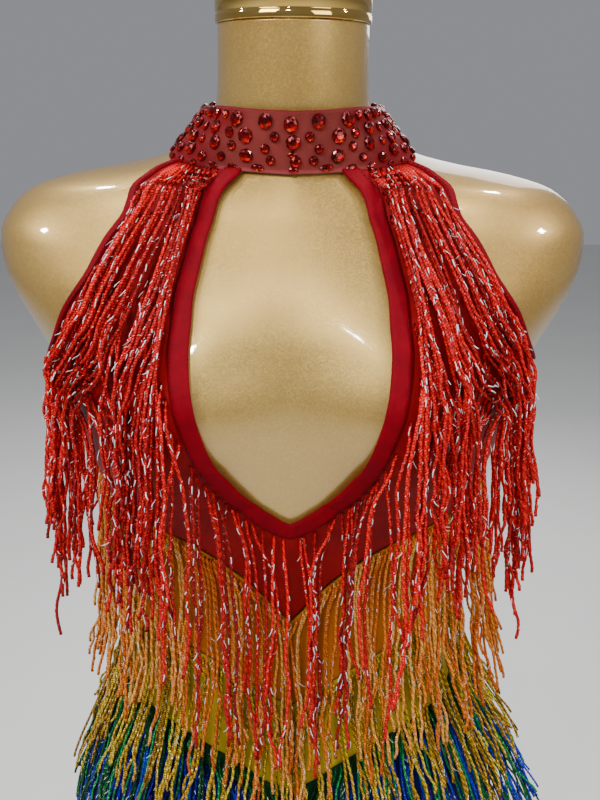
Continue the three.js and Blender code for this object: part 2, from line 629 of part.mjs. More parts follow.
// A tape along a line of spots, with a strand growing out of the outer face of every second cell.
function tapeWithStrands(line, row) {
  const points = [];
  const faces = [];
  const centre = line.map(({ turn, up, extra = 0 }) => raised(turn, up, tape.lift + extra));
  line.forEach(({ turn, up }, i) => {
    const before = centre[Math.max(0, i - 1)];
    const after = centre[Math.min(line.length - 1, i + 1)];
    const along = after.clone().sub(before).normalize();
    const out = outward(turn, up);
    const sideways = out.clone().cross(along).normalize();
    for (const [across, lift] of [[-1, 0], [1, 0], [1, tape.thickness], [-1, tape.thickness]]) {
      const corner = centre[i].clone().addScaledVector(sideways, (across * tape.width) / 2);
      points.push(corner.addScaledVector(out, lift));
    }
  });
  faces.push([3, 1, 0], [3, 2, 1]);
  const last = (line.length - 1) * 4;
  faces.push([last, last + 1, last + 3], [last + 1, last + 2, last + 3]);
  for (let cell = 0; cell < line.length - 1; cell += 1) {
    const start = cell * 4;
    const hasStrand = cell % 2 === 1;
    for (const s of hasStrand ? [0, 1, 3] : [0, 1, 2, 3]) {
      const next = (s + 1) % 4;
      faces.push([start + s, start + next, start + 4 + next], [start + s, start + 4 + next, start + 4 + s]);
    }
    if (!hasStrand) continue;
    const corners = [start + 2, start + 3, start + 7, start + 6];
    const halfway = (field) => (line[cell][field] + line[cell + 1][field]) / 2;
    const root = { turn: halfway('turn'), up: halfway('up'), extra: line[cell].extra };
    const middle = corners.reduce((sum, c) => sum.add(points[c]), new THREE.Vector3()).divideScalar(4);
    const out = points[corners[1]].clone().sub(points[corners[0]])
      .cross(points[corners[2]].clone().sub(points[corners[0]])).normalize();
    const level = new THREE.Vector3(0, 0, 1).cross(out).normalize();
    const rings = [cordRing(middle, level.clone().cross(out), level)];
    const lane = halfway('lane') + between(-laneSpread, laneSpread);
    const path = strandPath(row, root, lane, root.up - between(row.shortest, row.longest));
    path.forEach((point, i) => {
      const along = (path[i + 1] || point).clone().sub(path[i - 1] || middle).normalize();
      const across = level.clone().addScaledVector(along, -level.dot(along)).normalize();
      rings.push(cordRing(point, across.clone().cross(along), across));
    });
    // The face's four corners meet the root's three points; the first root point faces one edge.
    const edgeGap = (k) => points[corners[k]].clone().add(points[corners[(k + 1) % 4]]).divideScalar(2)
      .distanceTo(rings[0][0]);
    const nearest = [0, 1, 2, 3].sort((i, j) => edgeGap(i) - edgeGap(j))[0];
    const [a, b, c, d] = [0, 1, 2, 3].map((k) => corners[(nearest + k) % 4]);
    const p = points.length;
    faces.push([a, b, p], [b, p + 1, p], [b, c, p + 1], [c, p + 2, p + 1]);
    faces.push([c, d, p + 2], [d, a, p + 2], [a, p, p + 2]);
    points.push(...rings.flat());
    for (let ring = 0; ring < rings.length - 1; ring += 1) {
      for (let s = 0; s < 3; s += 1) {
        const here = p + ring * 3 + s;
        const beside = p + ring * 3 + ((s + 1) % 3);
        faces.push([here, beside, beside + 3], [here, beside + 3, here + 3]);
      }
    }
    const tip = points.length - 3;
    faces.push([tip, tip + 1, tip + 2]);
  }
  return closedMesh(points, faces);
}

function lineOf(count, spot) {
  return Array.from({ length: count }, (_, i) => spot(i / (count - 1)));
}

// Four red rows on each half of the halter: under the collar, across the panel, across the
// bust and along the keyhole. The strands of a row run side by side to their lanes, spread
// evenly from the first lane to the last, and the upper rows lie over the lower ones.
const redRows = [
  { name: 'collar', count: 4, layer: 3.6, shortest: 215, longest: 265 },
  { name: 'keyhole', count: 10, layer: 2.7, shortest: 150, longest: 205 },
  { name: 'panel', count: 5, layer: 1.7, shortest: 150, longest: 190 },
  { name: 'armhole', count: 7, layer: 0.6, shortest: 120, longest: 165 },
];
const redRoots = {
  collar: { fromCut: 0.5, toCut: 0.5, fromAcross: 0.4, toAcross: 0.76, firstLane: 56, lastLane: 78 },
  keyhole: { fromCut: 1.2, toCut: 15.6, firstLane: 52, lastLane: 2 },
  panel: { fromCut: 3.1, toCut: 3.1, fromAcross: 0.24, toAcross: 0.86, firstLane: 34, lastLane: 59 },
  armhole: { fromCut: 5.6, toCut: 6.4, fromAcross: 0.16, toAcross: 0.88, firstLane: 33, lastLane: 80 },
};
const keyholeClear = bindingWidth + tape.width / 2 + 1;
const edgeSpacing = 0.6; // share of the lanes' spacing that strands keep along the armhole

function buildRedFringe() {
  for (const row of redRows) {
    const roots = redRoots[row.name];
    const outermost = Math.max(roots.firstLane, roots.lastLane);
    for (const side of [-1, 1]) {
      const line = lineOf(2 * row.count + 2, (share) => {
        const partWay = (from, to) => from + (to - from) * share;
        const cut = partWay(roots.fromCut, roots.toCut);
        const across = row.name === 'keyhole' ? keyholeClear / cutLength(cut)
          : partWay(roots.fromAcross, roots.toAcross);
        const spot = halterSpot(cut, across);
        const lane = partWay(roots.firstLane, roots.lastLane);
        return { turn: side * spot.turn, up: spot.up, extra: spot.extra, lane: side * lane };
      });
      // Above the underarm a strand stays on the halter, inside the armhole's edge.
      const hold = (turn, up, lane) => {
        const edge = armholeTurn(up) - edgeSpacing * (outermost - side * lane);
        return up > underarmUp ? side * Math.min(side * turn, edge) : turn;
      };
      const clothTop = (turn) => armholeUp(Math.abs(turn));
      const full = { ...row, rank: 0, hold, clothTop };
      const leftward = line[0].turn < line[line.length - 1].turn;
      const geometry = tapeWithStrands(leftward ? line : line.reverse(), full);
      add(`fringe_${row.name}_${side < 0 ? 'right' : 'left'}`, geometry, 'red');
    }
  }
}

// A row of fringe along a seam, across the front or the back, ends short of the side seams.
const rowEnd = 88;
function seamLine(isBack, seam, down, points) {
  return lineOf(points, (share) => {
    const span = rowEnd * (2 * share - 1);
    const side = isBack ? 180 - Math.abs(span) : Math.abs(span);
    const turn = isBack ? 180 + span : span;
    return { turn, lane: turn, up: seamUp[seam](side) - down };
  });
}

function buildColourFringe() {
  const rows = [
    { name: 'orange', seam: 'red', rank: 1, front: 14, back: 8, shortest: 112, longest: 165 },
    { name: 'yellow', seam: 'orange', rank: 2, front: 12, back: 8, shortest: 110, longest: 150 },
    { name: 'green', seam: 'yellow', rank: 3, front: 10, back: 7, shortest: 100, longest: 140 },
    { name: 'blue', seam: 'green', rank: 4, front: 9, back: 7, shortest: 105, longest: 140 },
    { name: 'purple', seam: 'blue', rank: 5, front: 8, back: 8, shortest: 120, longest: 160 },
  ];
  const shared = { layer: 0, hold: (turn) => turn, clothTop: () => seams[0].backTop };
  const tapeDown = seamGap + tape.width;
  for (const row of rows) {
    for (const isBack of [false, true]) {
      const strands = isBack ? row.back : row.front;
      const line = seamLine(isBack, row.seam, tapeDown, 2 * strands + 2);
      const name = `fringe_${row.name}_${isBack ? 'back' : 'front'}`;
      add(name, tapeWithStrands(line, { ...shared, ...row }), row.name);
    }
  }
  const redBack = { ...shared, rank: 0, shortest: 120, longest: 165 };
  const redBackStrands = 9;
  const backLine = seamLine(true, 'backTop', armBindingWidth + tape.width, 2 * redBackStrands + 2);
  add('fringe_red_back', tapeWithStrands(backLine, redBack), 'red');
}

buildForm();
buildCollar();
buildHalter();
buildBands();
buildGusset();
buildRedFringe();
buildColourFringe();

export default model;
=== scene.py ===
"""Looks of a rainbow fringe bodysuit worn by a limbless gold dress form.

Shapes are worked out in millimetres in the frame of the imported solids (origin on the floor,
front towards -Y) and scaled to metres when a mesh is made. A place on the body is given by
its turn, in degrees round from the centre front, and its height "up" above the waist.
"""
import math

import bpy
import numpy as np
from mathutils import Matrix, Vector


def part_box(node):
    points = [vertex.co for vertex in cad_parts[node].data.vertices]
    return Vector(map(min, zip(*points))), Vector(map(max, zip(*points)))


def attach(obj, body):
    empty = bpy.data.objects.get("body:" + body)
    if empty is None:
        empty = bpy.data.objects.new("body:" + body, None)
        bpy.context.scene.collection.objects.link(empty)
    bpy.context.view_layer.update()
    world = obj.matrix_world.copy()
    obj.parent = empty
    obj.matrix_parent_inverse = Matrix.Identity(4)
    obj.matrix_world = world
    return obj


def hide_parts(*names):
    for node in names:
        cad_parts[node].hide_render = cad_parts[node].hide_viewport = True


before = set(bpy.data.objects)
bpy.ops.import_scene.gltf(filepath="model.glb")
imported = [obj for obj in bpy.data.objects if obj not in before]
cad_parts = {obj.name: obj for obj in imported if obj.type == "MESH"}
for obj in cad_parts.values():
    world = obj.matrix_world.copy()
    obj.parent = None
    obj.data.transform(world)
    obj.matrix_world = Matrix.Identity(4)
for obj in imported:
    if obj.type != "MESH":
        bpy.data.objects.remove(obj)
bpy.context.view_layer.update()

MM = 0.001
WAIST = 520.0
CLOTH_GAP = 1.9
CLOTH = 1.1
CLOTH_OUTSIDE = CLOTH_GAP + CLOTH
CLOTH_INSIDE = CLOTH_GAP + 0.2
INSIDE_CREASE = 0.8  # how much of each crease the inner face of the cloth follows
SEAM_GAP = 1.0
LAY_GAP = 0.4
BINDING_FOOT = CLOTH_OUTSIDE + LAY_GAP
BINDING_WIDTH = 11.0
ARM_BINDING_WIDTH = 6.0
NECK_TOP = 421.0
CAP_TOP = 452.0
BOWL_DEPTH = 85.0
ROD_APART = 75.0
ROD_RADIUS = 7.0
BASE = {"half_length": 230.0, "half_width": 165.0, "thickness": 8.0}

# --- tables of the body's form
RING_COLUMNS = ("up", "half", "front", "back", "shift", "square")
RINGS = [
    (-185, 168, 98, 108, 5, 2.2), (-140, 159, 97, 105, 4, 2.2), (-90, 141, 93, 94, 2, 2.2),
    (-40, 124, 89, 82, 0, 2.2), (0, 119, 88, 77, 0, 2.2), (40, 121, 89, 77, 0, 2.2),
    (80, 128, 93, 80, 0, 2.2), (120, 138, 99, 85, 0, 2.25), (150, 147, 105, 89, 0, 2.3),
    (175, 154, 109, 92, 0, 2.3), (195, 161, 110, 94, 0, 2.35), (225, 178, 106, 95, 0, 2.35),
    (255, 195.5, 97, 92, 1, 2.3), (270, 201, 91, 89, 2, 2.2), (287, 203, 83, 85, 3, 2.05),
    (305, 194, 75, 80, 4, 1.85), (318, 178, 69, 75, 4, 1.65), (328, 145, 64, 70, 4, 1.5),
    (334, 112, 61, 67, 4, 1.5), (341, 84, 59, 64, 3, 1.62), (350, 66, 57, 61, 2, 1.8),
    (362, 56, 54, 57, -1, 1.95), (375, 51, 52, 54, -5, 2), (395, 49.5, 50, 51, -9, 2),
    (421, 49, 49, 49, -12, 2),
]
BUST = {"rise": 26.0, "across": 80.0, "up": 182.0, "wide": 52.0, "tall": 58.0}

COLLAR_COLUMNS = ("turn", "bottom", "top")
COLLAR = [
    (0, 328.9, 369.2), (20, 330, 369.8), (50, 334.4, 371), (75, 343.4, 369.6),
    (90, 348.6, 368.2), (120, 351.6, 368.6), (180, 352, 371),
]

CUT_COLUMNS = ("cut", "inner_turn", "inner_up", "outer_turn", "outer_up")
CUTS = [
    (0, 19.5, 331.3, 50, 335), (1, 17.6, 317, 42.5, 324), (2, 15, 299, 34.5, 301),
    (3, 14.2, 274, 37, 272), (4, 14.9, 247, 46, 246), (5, 16.5, 224, 58, 224),
    (6, 17.5, 200, 74, 210), (7, 17.1, 180, 90, 204), (8, 15, 160, 90, 162),
    (9, 12.5, 149, 90, 121), (10, 10.6, 140, 72, 115), (11, 8.8, 133, 54, 107),
    (12, 7, 127, 41, 101), (13, 5.2, 122, 29, 92), (14, 3.4, 118, 18, 80),
    (15, 1.7, 114, 8.5, 59), (16, 0, 111, 0, 34),
]
LAST_CUT = 16
HEM_CUT = 9
HEM_GAP = 1.2
UNDERARM_CUT = 7
KEYHOLE_LAST_CUT = 12
KEYHOLE_LIFT = 3.2

SEAM_COLUMNS = ("turn", "back_top", "red", "orange", "yellow", "green", "blue", "leg")
SEAMS = [
    (0, 204, 34, -32, -101, -117, -158, -238), (6, 204, 52, -23, -93, -109, -151, -238),
    (12, 204, 67, -14, -82, -98, -141, -237), (30, 204, 93, 4, -64, -80, -122, -225),
    (54, 204, 107, 14, -52, -68, -107, -188), (90, 204, 121, 24, -40, -57, -95, -152),
    (126, 190, 107, 14, -50, -67, -106, -196), (150, 178, 93, 4, -62, -79, -120, -230),
    (168, 172, 76, -10, -76, -93, -136, -238), (180, 170, 62, -22, -88, -105, -148, -238),
]
SIDE_SEAM = 89.85
UNDER_LIFT = 0.8


# --- curves and surfaces
def smooth_curve(keys, values):
    """A curve through the points that never overshoots them, as a function of an array."""
    keys, values = np.asarray(keys, float), np.asarray(values, float)
    gaps = np.diff(keys)
    rises = np.diff(values) / gaps
    slopes = np.empty_like(values)
    slopes[0], slopes[-1] = rises[0], rises[-1]
    for i in range(1, len(keys) - 1):
        early, late = 2 * gaps[i] + gaps[i - 1], gaps[i] + 2 * gaps[i - 1]
        turns = rises[i - 1] * rises[i] <= 0
        slopes[i] = 0 if turns else (early + late) / (early / rises[i - 1] + late / rises[i])

    def at(key):
        key = np.clip(key, keys[0], keys[-1])
        i = np.clip(np.searchsorted(keys, key, side="right") - 1, 0, len(gaps) - 1)
        t = (key - keys[i]) / gaps[i]
        b = 1 - t
        return (
            values[i] * (1 + 2 * t) * b * b + slopes[i] * gaps[i] * t * b * b
            + values[i + 1] * t * t * (3 - 2 * t) - slopes[i + 1] * gaps[i] * t * t * b
        )

    return at


def table_curves(columns, rows):
    table = np.array(rows, float)
    return {name: smooth_curve(table[:, 0], table[:, i]) for i, name in enumerate(columns) if i}


ring_curves = table_curves(RING_COLUMNS, RINGS)
collar_curves = table_curves(COLLAR_COLUMNS, COLLAR)
cut_curves = table_curves(CUT_COLUMNS, CUTS)
seam_curves = table_curves(SEAM_COLUMNS, SEAMS)
LOWEST = float(RINGS[0][0])


def ease(t):
    t = np.clip(t, 0.0, 1.0)
    return t * t * (3 - 2 * t)


def body(turn, up):
    """Points of the dress form's skin, as an array of (x, y, z)."""
    turn, up = np.broadcast_arrays(np.asarray(turn, float), np.asarray(up, float))
    below = np.clip(LOWEST - up, 0, None) / BOWL_DEPTH
    shrink = np.sqrt(np.clip(1 - below * below, 0, 1))
    ring = {name: curve(up) for name, curve in ring_curves.items()}
    angle = np.radians(turn)
    sine, cosine = np.sin(angle), np.cos(angle)
    power = 2 / ring["square"]
    x = ring["half"] * shrink * np.sign(sine) * np.abs(sine) ** power
    along = np.sign(cosine) * np.abs(cosine) ** power
    sideways = (np.abs(x) - BUST["across"]) / BUST["wide"]
    upward = (up - BUST["up"]) / BUST["tall"]
    swell = BUST["rise"] * np.exp(-sideways**2 - upward**2) * np.clip(along * 1.6, 0, 1)
    depth = np.where(along > 0, ring["front"], ring["back"]) * shrink
    y = ring["shift"] - depth * along - swell
    return np.stack([x, y, WAIST + up], axis=-1)


def unit(v):
    return v / np.maximum(np.linalg.norm(v, axis=-1, keepdims=True), 1e-12)


def outward(turn, up, step=1.5):
    across = body(turn + step, up) - body(turn - step, up)
    upward = body(turn, up + step) - body(turn, up - step)
    return unit(np.cross(across, upward))


def raised(turn, up, lift):
    return body(turn, up) + outward(turn, up) * np.asarray(lift, float)[..., None]


def side_of(turn):
    """Degrees from the centre front, for any turn."""
    return np.abs((np.asarray(turn, float) + 180) % 360 - 180)


# Soft troughs (depth above 0) and ridges (below 0) that the stretched cloth shows:
# from one place on the body to another, with a width and depth in millimetres.
CREASES = [
    (20, 150, 46, 118, 7, 0.7), (14, 138, 30, 104, 5, -0.6), (9, 128, 19, 92, 5, 0.6),
    (24, 176, 70, 150, 9, 0.8), (30, 196, 78, 184, 8, -0.7), (62, 214, 88, 168, 8, 0.8),
    (3, 100, 5, 64, 4, 0.5), (16, 262, 30, 246, 6, 0.6), (18, 292, 30, 300, 5, 0.5),
    (84, 108, 60, 74, 8, 0.8), (86, 70, 52, 52, 8, -0.6), (20, 52, 44, 36, 7, 0.6),
    (88, 30, 58, 4, 9, 0.9), (82, 0, 40, -16, 9, -0.7), (30, -22, 8, -34, 8, 0.6),
    (88, -28, 60, -48, 8, 0.8), (20, -60, 50, -74, 9, 0.6), (86, -60, 64, -84, 8, -0.7),
    (96, 104, 128, 70, 8, 0.8), (100, 60, 140, 40, 9, -0.7), (170, 44, 140, 20, 9, 0.7),
    (96, 20, 130, -8, 8, 0.8), (176, 0, 150, -30, 9, 0.7), (98, -36, 134, -62, 9, 0.8),
    (172, -60, 146, -80, 8, -0.6), (120, 160, 170, 134, 10, 0.9), (100, 180, 140, 150, 9, -0.7),
    (172, 150, 150, 110, 9, 0.7), (70, -120, 30, -150, 9, 0.7), (110, -110, 150, -150, 9, 0.8),
]
DEGREE_MM = 2.4  # a degree's usual width on the body, to measure distances between places


def creased(turn, up):
    """How far inwards the creases take the cloth, the same on both sides of the body."""
    side, up = side_of(turn) * DEGREE_MM, np.asarray(up, float)
    depth = np.zeros(np.broadcast(side, up).shape)
    for from_turn, from_up, to_turn, to_up, width, deep in CREASES:
        start = np.array([from_turn * DEGREE_MM, from_up])
        run = np.array([to_turn * DEGREE_MM, to_up]) - start
        t = np.clip(((side - start[0]) * run[0] + (up - start[1]) * run[1]) / (run @ run), 0, 1)
        off = np.hypot(side - start[0] - t * run[0], up - start[1] - t * run[1])
        depth += deep * np.exp(-(off / width) ** 2) * (0.35 + 0.65 * np.sin(np.pi * t) ** 0.5)
    return depth


# --- meshes
def make_piece(name, points, quads, look, slot, node=None, uv=None, triangles=(), smooth=True, values=None):
    """A mesh piece from millimetre points, four-cornered faces and, if any, three-cornered ones.

    look names its material, and node the solid that it replaces. uv has a row for each corner of
    each face. values are named numbers, one for each point.
    """
    quads = np.asarray(quads, np.int32).reshape(-1, 4)
    triangles = np.asarray(triangles, np.int32).reshape(-1, 3)
    corners = np.concatenate([quads.ravel(), triangles.ravel()])
    counts = np.concatenate([np.full(len(quads), 4), np.full(len(triangles), 3)])
    mesh = bpy.data.meshes.new(name)
    mesh.vertices.add(len(points))
    mesh.vertices.foreach_set("co", (np.asarray(points) * MM).astype(np.float32).ravel())
    mesh.loops.add(len(corners))
    mesh.loops.foreach_set("vertex_index", corners)
    mesh.polygons.add(len(counts))
    mesh.polygons.foreach_set("loop_start", np.concatenate([[0], np.cumsum(counts)[:-1]]).astype(np.int32))
    mesh.polygons.foreach_set("use_smooth", np.full(len(counts), smooth))
    if uv is not None:
        mesh.uv_layers.new(name="UVMap").data.foreach_set("uv", np.asarray(uv, np.float32).ravel())
    for key, numbers in (values or {}).items():
        attribute = mesh.attributes.new(key, "FLOAT", "POINT")
        attribute.data.foreach_set("value", np.asarray(numbers, np.float32))
    mesh.update(calc_edges=True)
    mesh.validate()
    mesh.materials.append(materials[look])
    piece = bpy.data.objects.new(name, mesh)
    bpy.context.scene.collection.objects.link(piece)
    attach(piece, "root")
    if node:
        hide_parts(node)
    return piece


def grid_quads(rows, columns, ring=False, start=0):
    """Faces of a grid of points; a ring's last column joins its first."""
    r, c = np.meshgrid(np.arange(rows - 1), np.arange(columns if ring else columns - 1), indexing="ij")
    after = (c + 1) % columns
    above, below = r * columns, (r + 1) * columns
    return np.stack([above + c, below + c, below + after, above + after], -1).reshape(-1, 4) + start


def make_sheet(name, outer, inner, look, slot, node, values=None):
    """A thin closed sheet between two grids of points, with its uv in millimetres."""
    rows, columns = outer.shape[:2]
    count = rows * columns
    r, c = np.arange(rows - 1) * columns, np.arange(columns - 1)
    bottom, right = (rows - 1) * columns, columns - 1
    edges = [(c, c + 1), (bottom + c + 1, bottom + c), (r + columns, r), (r + right, r + columns + right)]
    quads = np.concatenate([
        grid_quads(rows, columns), grid_quads(rows, columns, start=count)[:, ::-1],
        *(np.stack([a, b, b + count, a + count], -1) for a, b in edges),
    ])
    across = np.linalg.norm(np.diff(outer, axis=1), axis=-1).mean(0)
    down = np.linalg.norm(np.diff(outer, axis=0), axis=-1).mean(1)
    u, v = (np.concatenate([[0], np.cumsum(steps)]) for steps in (across, down))
    uv = np.tile(np.stack(np.meshgrid(u, v), -1).reshape(-1, 2), (2, 1))[quads.ravel()]
    points = np.concatenate([outer.reshape(-1, 3), inner.reshape(-1, 3)])
    return make_piece(name, points, quads, look, slot, node, uv, values=values)


def revolve(name, rings, look, slot, node):
    """Rings of points, from the lowest up, joined into a tube and closed at both ends."""
    rings = rings[::-1]
    rows, sides = rings.shape[:2]
    points = np.concatenate([rings.reshape(-1, 3), rings[[0, -1]].mean(1)])
    s = np.arange(sides)
    after, first, last = (s + 1) % sides, rows * sides, rows * sides + 1
    bottom = (rows - 1) * sides
    fans = np.concatenate([
        np.stack([np.full(sides, first), s, after], -1),
        np.stack([np.full(sides, last), bottom + after, bottom + s], -1),
    ])
    make_piece(name, points, grid_quads(rows, sides, ring=True), look, slot, node, triangles=fans)


# --- materials
def linear(code):
    """A colour given as six hex digits, as the shaders take it."""
    parts = [int(code[i:i + 2], 16) / 255 for i in (0, 2, 4)]
    return tuple(p / 12.92 if p <= 0.04045 else ((p + 0.055) / 1.055) ** 2.4 for p in parts) + (1.0,)


class Shader:
    """A Principled material and short ways to add nodes to it."""

    def __init__(self, name, **sockets):
        self.material = bpy.data.materials.new(name)
        self.material.use_nodes = True
        self.tree = self.material.node_tree
        self.surface = self.tree.nodes["Principled BSDF"]
        for socket, value in sockets.items():
            self.surface.inputs[socket.replace("_", " ")].default_value = value

    def put(self, socket, value):
        if isinstance(value, bpy.types.NodeSocket):
            self.tree.links.new(value, socket)
        else:
            socket.default_value = value

    def node(self, kind, inputs, **settings):
        made = self.tree.nodes.new(kind)
        for key, value in settings.items():
            setattr(made, key, value)
        for key, value in inputs.items():
            self.put(made.inputs[key], value)
        return made

    def place(self, kind="Object"):
        return self.node("ShaderNodeTexCoord", {}).outputs[kind]

    def value(self, name):
        return self.node("ShaderNodeAttribute", {}, attribute_name=name).outputs["Fac"]

    def scaled(self, vector, scale):
        return self.node("ShaderNodeMapping", {"Vector": vector, "Scale": scale}).outputs["Vector"]

    def noise(self, vector, scale, detail=2.0, rough=0.5):
        inputs = {"Vector": vector, "Scale": scale, "Detail": detail, "Roughness": rough}
        return self.node("ShaderNodeTexNoise", inputs).outputs["Fac"]

    def flakes(self, scale):
        """A random number for each small cell of the surface."""
        cells = self.node("ShaderNodeTexVoronoi", {"Vector": self.place(), "Scale": scale}).outputs["Color"]
        return self.node("ShaderNodeSeparateColor", {"Color": cells}).outputs[0]

    def uv(self):
        return self.node("ShaderNodeSeparateXYZ", {"Vector": self.place("UV")}).outputs[:2]

    def math(self, operation, a, b=0.0, c=0.0):
        return self.node("ShaderNodeMath", {0: a, 1: b, 2: c}, operation=operation).outputs[0]

    def ramp(self, value, *stops):
        made = self.node("ShaderNodeValToRGB", {"Fac": value})
        elements = made.color_ramp.elements
        while len(elements) < len(stops):
            elements.new(0.5)
        for element, (at, colour) in zip(elements, stops):
            element.position = at
            element.color = linear(colour) if isinstance(colour, str) else (colour, colour, colour, 1)
        return made.outputs["Color"]

    def mix(self, share, a, b, blend="MIX"):
        made = self.node("ShaderNodeMix", {}, data_type="RGBA", blend_type=blend)
        self.put(made.inputs[0], share)
        self.put(made.inputs[6], a)
        self.put(made.inputs[7], b)
        return made.outputs[2]

    def bump(self, height, distance, strength):
        inputs = {"Height": height, "Distance": distance, "Strength": strength}
        return self.node("ShaderNodeBump", inputs).outputs["Normal"]

    def finish(self, colour=None, roughness=None, normal=None, metallic=None):
        values = {"Base Color": colour, "Roughness": roughness, "Normal": normal, "Metallic": metallic}
        for key, value in values.items():
            if value is not None:
                self.put(self.surface.inputs[key], value)
        return self.material


def gold_skin():
    """Champagne pearly lacquer: a fine grain of flakes in warm gold under a glossy coat, with painted shade
    in brown gold at its edges.
    """
    s = Shader("form_gold_skin", Coat_Weight=1.0, Coat_Roughness=0.05, Coat_IOR=1.6, Specular_IOR_Level=0.6)
    flake = s.flakes(1300.0)
    base = s.ramp(s.noise(s.place(), 9.0, 3.0), (0.3, "B28C40"), (0.7, "C6A456"))
    # painted shade: the gold is mixed towards dark brown gold where the surface turns away from the camera
    painted_edge_shade = s.node("ShaderNodeLayerWeight", {"Blend": 0.35}).outputs["Facing"]
    base = s.mix(painted_edge_shade, base, linear("8A6624"))
    grain = s.ramp(flake, (0.0, 0.42), (0.6, 0.5), (1.0, 0.66))
    rough = s.math("MULTIPLY_ADD", flake, 0.12, 0.3)
    return s.finish(s.mix(0.5, base, grain, "OVERLAY"), rough, s.bump(flake, 0.00005, 0.3), 0.55)


def bright_metal(name, dark, light, stretch, scale, detail, rough, strength):
    """Metal with handling or brushing marks. rough is the roughness's range and its least value."""
    s = Shader(name, Metallic=1.0)
    marks = s.noise(s.scaled(s.place(), stretch), scale, detail)
    return s.finish(
        s.mix(marks, linear(dark), linear(light)), s.math("MULTIPLY_ADD", marks, *rough),
        s.bump(marks, 0.00004, strength),
    )


def net_ground(s, dark, light):
    """Soft patches where the net is pulled thin or lies double."""
    return s.ramp(s.noise(s.place(), 22.0, 4.0, 0.6), (0.3, dark), (0.72, light))


def fibre_roughness(s):
    return s.math("MULTIPLY_ADD", s.noise(s.place(), 900.0), 0.2, 0.5)


def mesh_threads(s, pitch):
    """Height of a diagonal mesh of threads, from uv in millimetres."""
    u, v = s.uv()
    turns = [s.math("MULTIPLY", s.math(way, u, v), 2 * math.pi / pitch) for way in ("ADD", "SUBTRACT")]
    return s.math("MAXIMUM", *(s.math("ABSOLUTE", s.math("SINE", turn)) for turn in turns))


def net(name, dark, light, hole, pitch=0.9):
    """Fine stretch net over its lining: a mesh of threads with darker holes."""
    tint = linear(light)
    s = Shader(name, Sheen_Weight=0.03, Sheen_Roughness=0.4, Specular_IOR_Level=0.14, Sheen_Tint=tint)
    threads = mesh_threads(s, pitch)
    ground = net_ground(s, dark, light)
    open_share = s.ramp(threads, (0.35, 0.0), (0.9, 1.0))
    colour = s.mix(open_share, s.mix(0.5, ground, linear(hole)), ground)
    return s.finish(colour, fibre_roughness(s), s.bump(threads, 0.00018, 0.5))


def sheer_net(name, pitch=1.5):
    """Red net worn single, so that gold shows through at the front; red and double at the sides."""
    s = Shader(name, Sheen_Weight=0.03, Specular_IOR_Level=0.14)
    threads = mesh_threads(s, pitch)
    open_share = s.ramp(threads, (0.3, 0.0), (0.85, 1.0))
    single = s.mix(open_share, linear("6E4028"), net_ground(s, "5E1216", "7E2628"))
    double = s.mix(open_share, linear("3C0006"), net_ground(s, "640008", "7A020C"))
    colour = s.mix(s.value("double"), single, double)
    colour = s.mix(s.value("hem"), colour, linear("640008"))
    colour = s.mix(s.value("fray"), colour, linear("B04A50"))
    return s.finish(colour, fibre_roughness(s), s.bump(threads, 0.0003, 0.6))


def matte_binding():
    """Smooth folded binding with a faint rib and slight wear along its length."""
    s = Shader("crimson_binding_cloth", Sheen_Weight=0.03, Sheen_Roughness=0.45, Specular_IOR_Level=0.08,
               Sheen_Tint=linear("B02030"))
    u, v = s.uv()
    ribs = s.math("SINE", s.math("MULTIPLY", s.math("ADD", u, s.math("MULTIPLY", v, 0.5)), 9.0))
    patches = s.noise(s.place(), 60.0, 5.0, 0.65)
    colour = s.ramp(patches, (0.28, "64000E"), (0.55, "780012"), (0.8, "880218"))
    height = s.math("ADD", s.math("MULTIPLY", ribs, 0.3), s.math("MULTIPLY", patches, 1.6))
    return s.finish(colour, s.math("MULTIPLY_ADD", patches, 0.2, 0.58), s.bump(height, 0.0001, 0.5))


def cord(name, dark, middle, light, glitter, metal, rough=0.5, threads=0.06, groove_shade=0.2, ply=0.3):
    """Knitted cord: a chain of small loops with painted shade between them, and a few lurex threads.

    threads is the share of the cord that the lurex covers, groove_shade the light that the painted shade
    leaves between loops, and ply how far that painted shade reaches into a loop.
    """
    s = Shader(name, Specular_IOR_Level=0.22)
    u, v = s.uv()
    around, along = s.math("MULTIPLY", u, 2.0), s.math("MULTIPLY", v, 0.36)
    turns = [s.math("MULTIPLY", s.math(way, along, around), math.pi) for way in ("ADD", "SUBTRACT")]
    loops = s.math("MULTIPLY", *(s.math("ABSOLUTE", s.math("SINE", turn)) for turn in turns))
    fibres = s.noise(s.scaled(s.place("UV"), (4.0, 0.9, 1.0)), 1.0, 3.0, 0.7)
    tone = s.math("ADD", s.math("MULTIPLY", s.value("tone"), 0.5), s.math("MULTIPLY", fibres, 0.5))
    yarn = s.ramp(tone, (0.26, dark), (0.5, middle), (0.74, light))
    # painted shade: the yarn is darkened between the loops of the chain
    yarn = s.mix(1.0, yarn, s.ramp(loops, (0.0, groove_shade), (ply, 0.75), (0.8, 1.0)), "MULTIPLY")
    winding = s.math("FRACT", s.math("ADD", u, s.math("MULTIPLY", v, -0.11)))
    broken = s.noise(s.scaled(s.place("UV"), (1.0, 0.45, 1.0)), 1.0, 1.0)
    lurex = s.math("MULTIPLY", s.math("LESS_THAN", winding, threads), s.math("GREATER_THAN", broken, 0.6))
    return s.finish(
        s.mix(lurex, yarn, linear(glitter)), s.math("MULTIPLY_ADD", lurex, -0.2, rough),
        s.bump(loops, 0.0005, 0.9), s.math("MULTIPLY_ADD", lurex, 0.3, metal),
    )


def lurex_foil(name, colour):
    """Narrow bright foil thread that winds round the cords and breaks away from them, with painted white
    glints in small cells.
    """
    s = Shader(name, Specular_IOR_Level=1.0, Coat_Weight=1.0, Coat_Roughness=0.1)
    # painted glints: random small cells of the foil are mixed towards white
    light = s.flakes(1400.0)
    colour = s.mix(light, linear(colour), linear("FFFFFF"))
    return s.finish(colour, s.math("MULTIPLY_ADD", light, 0.25, 0.25))


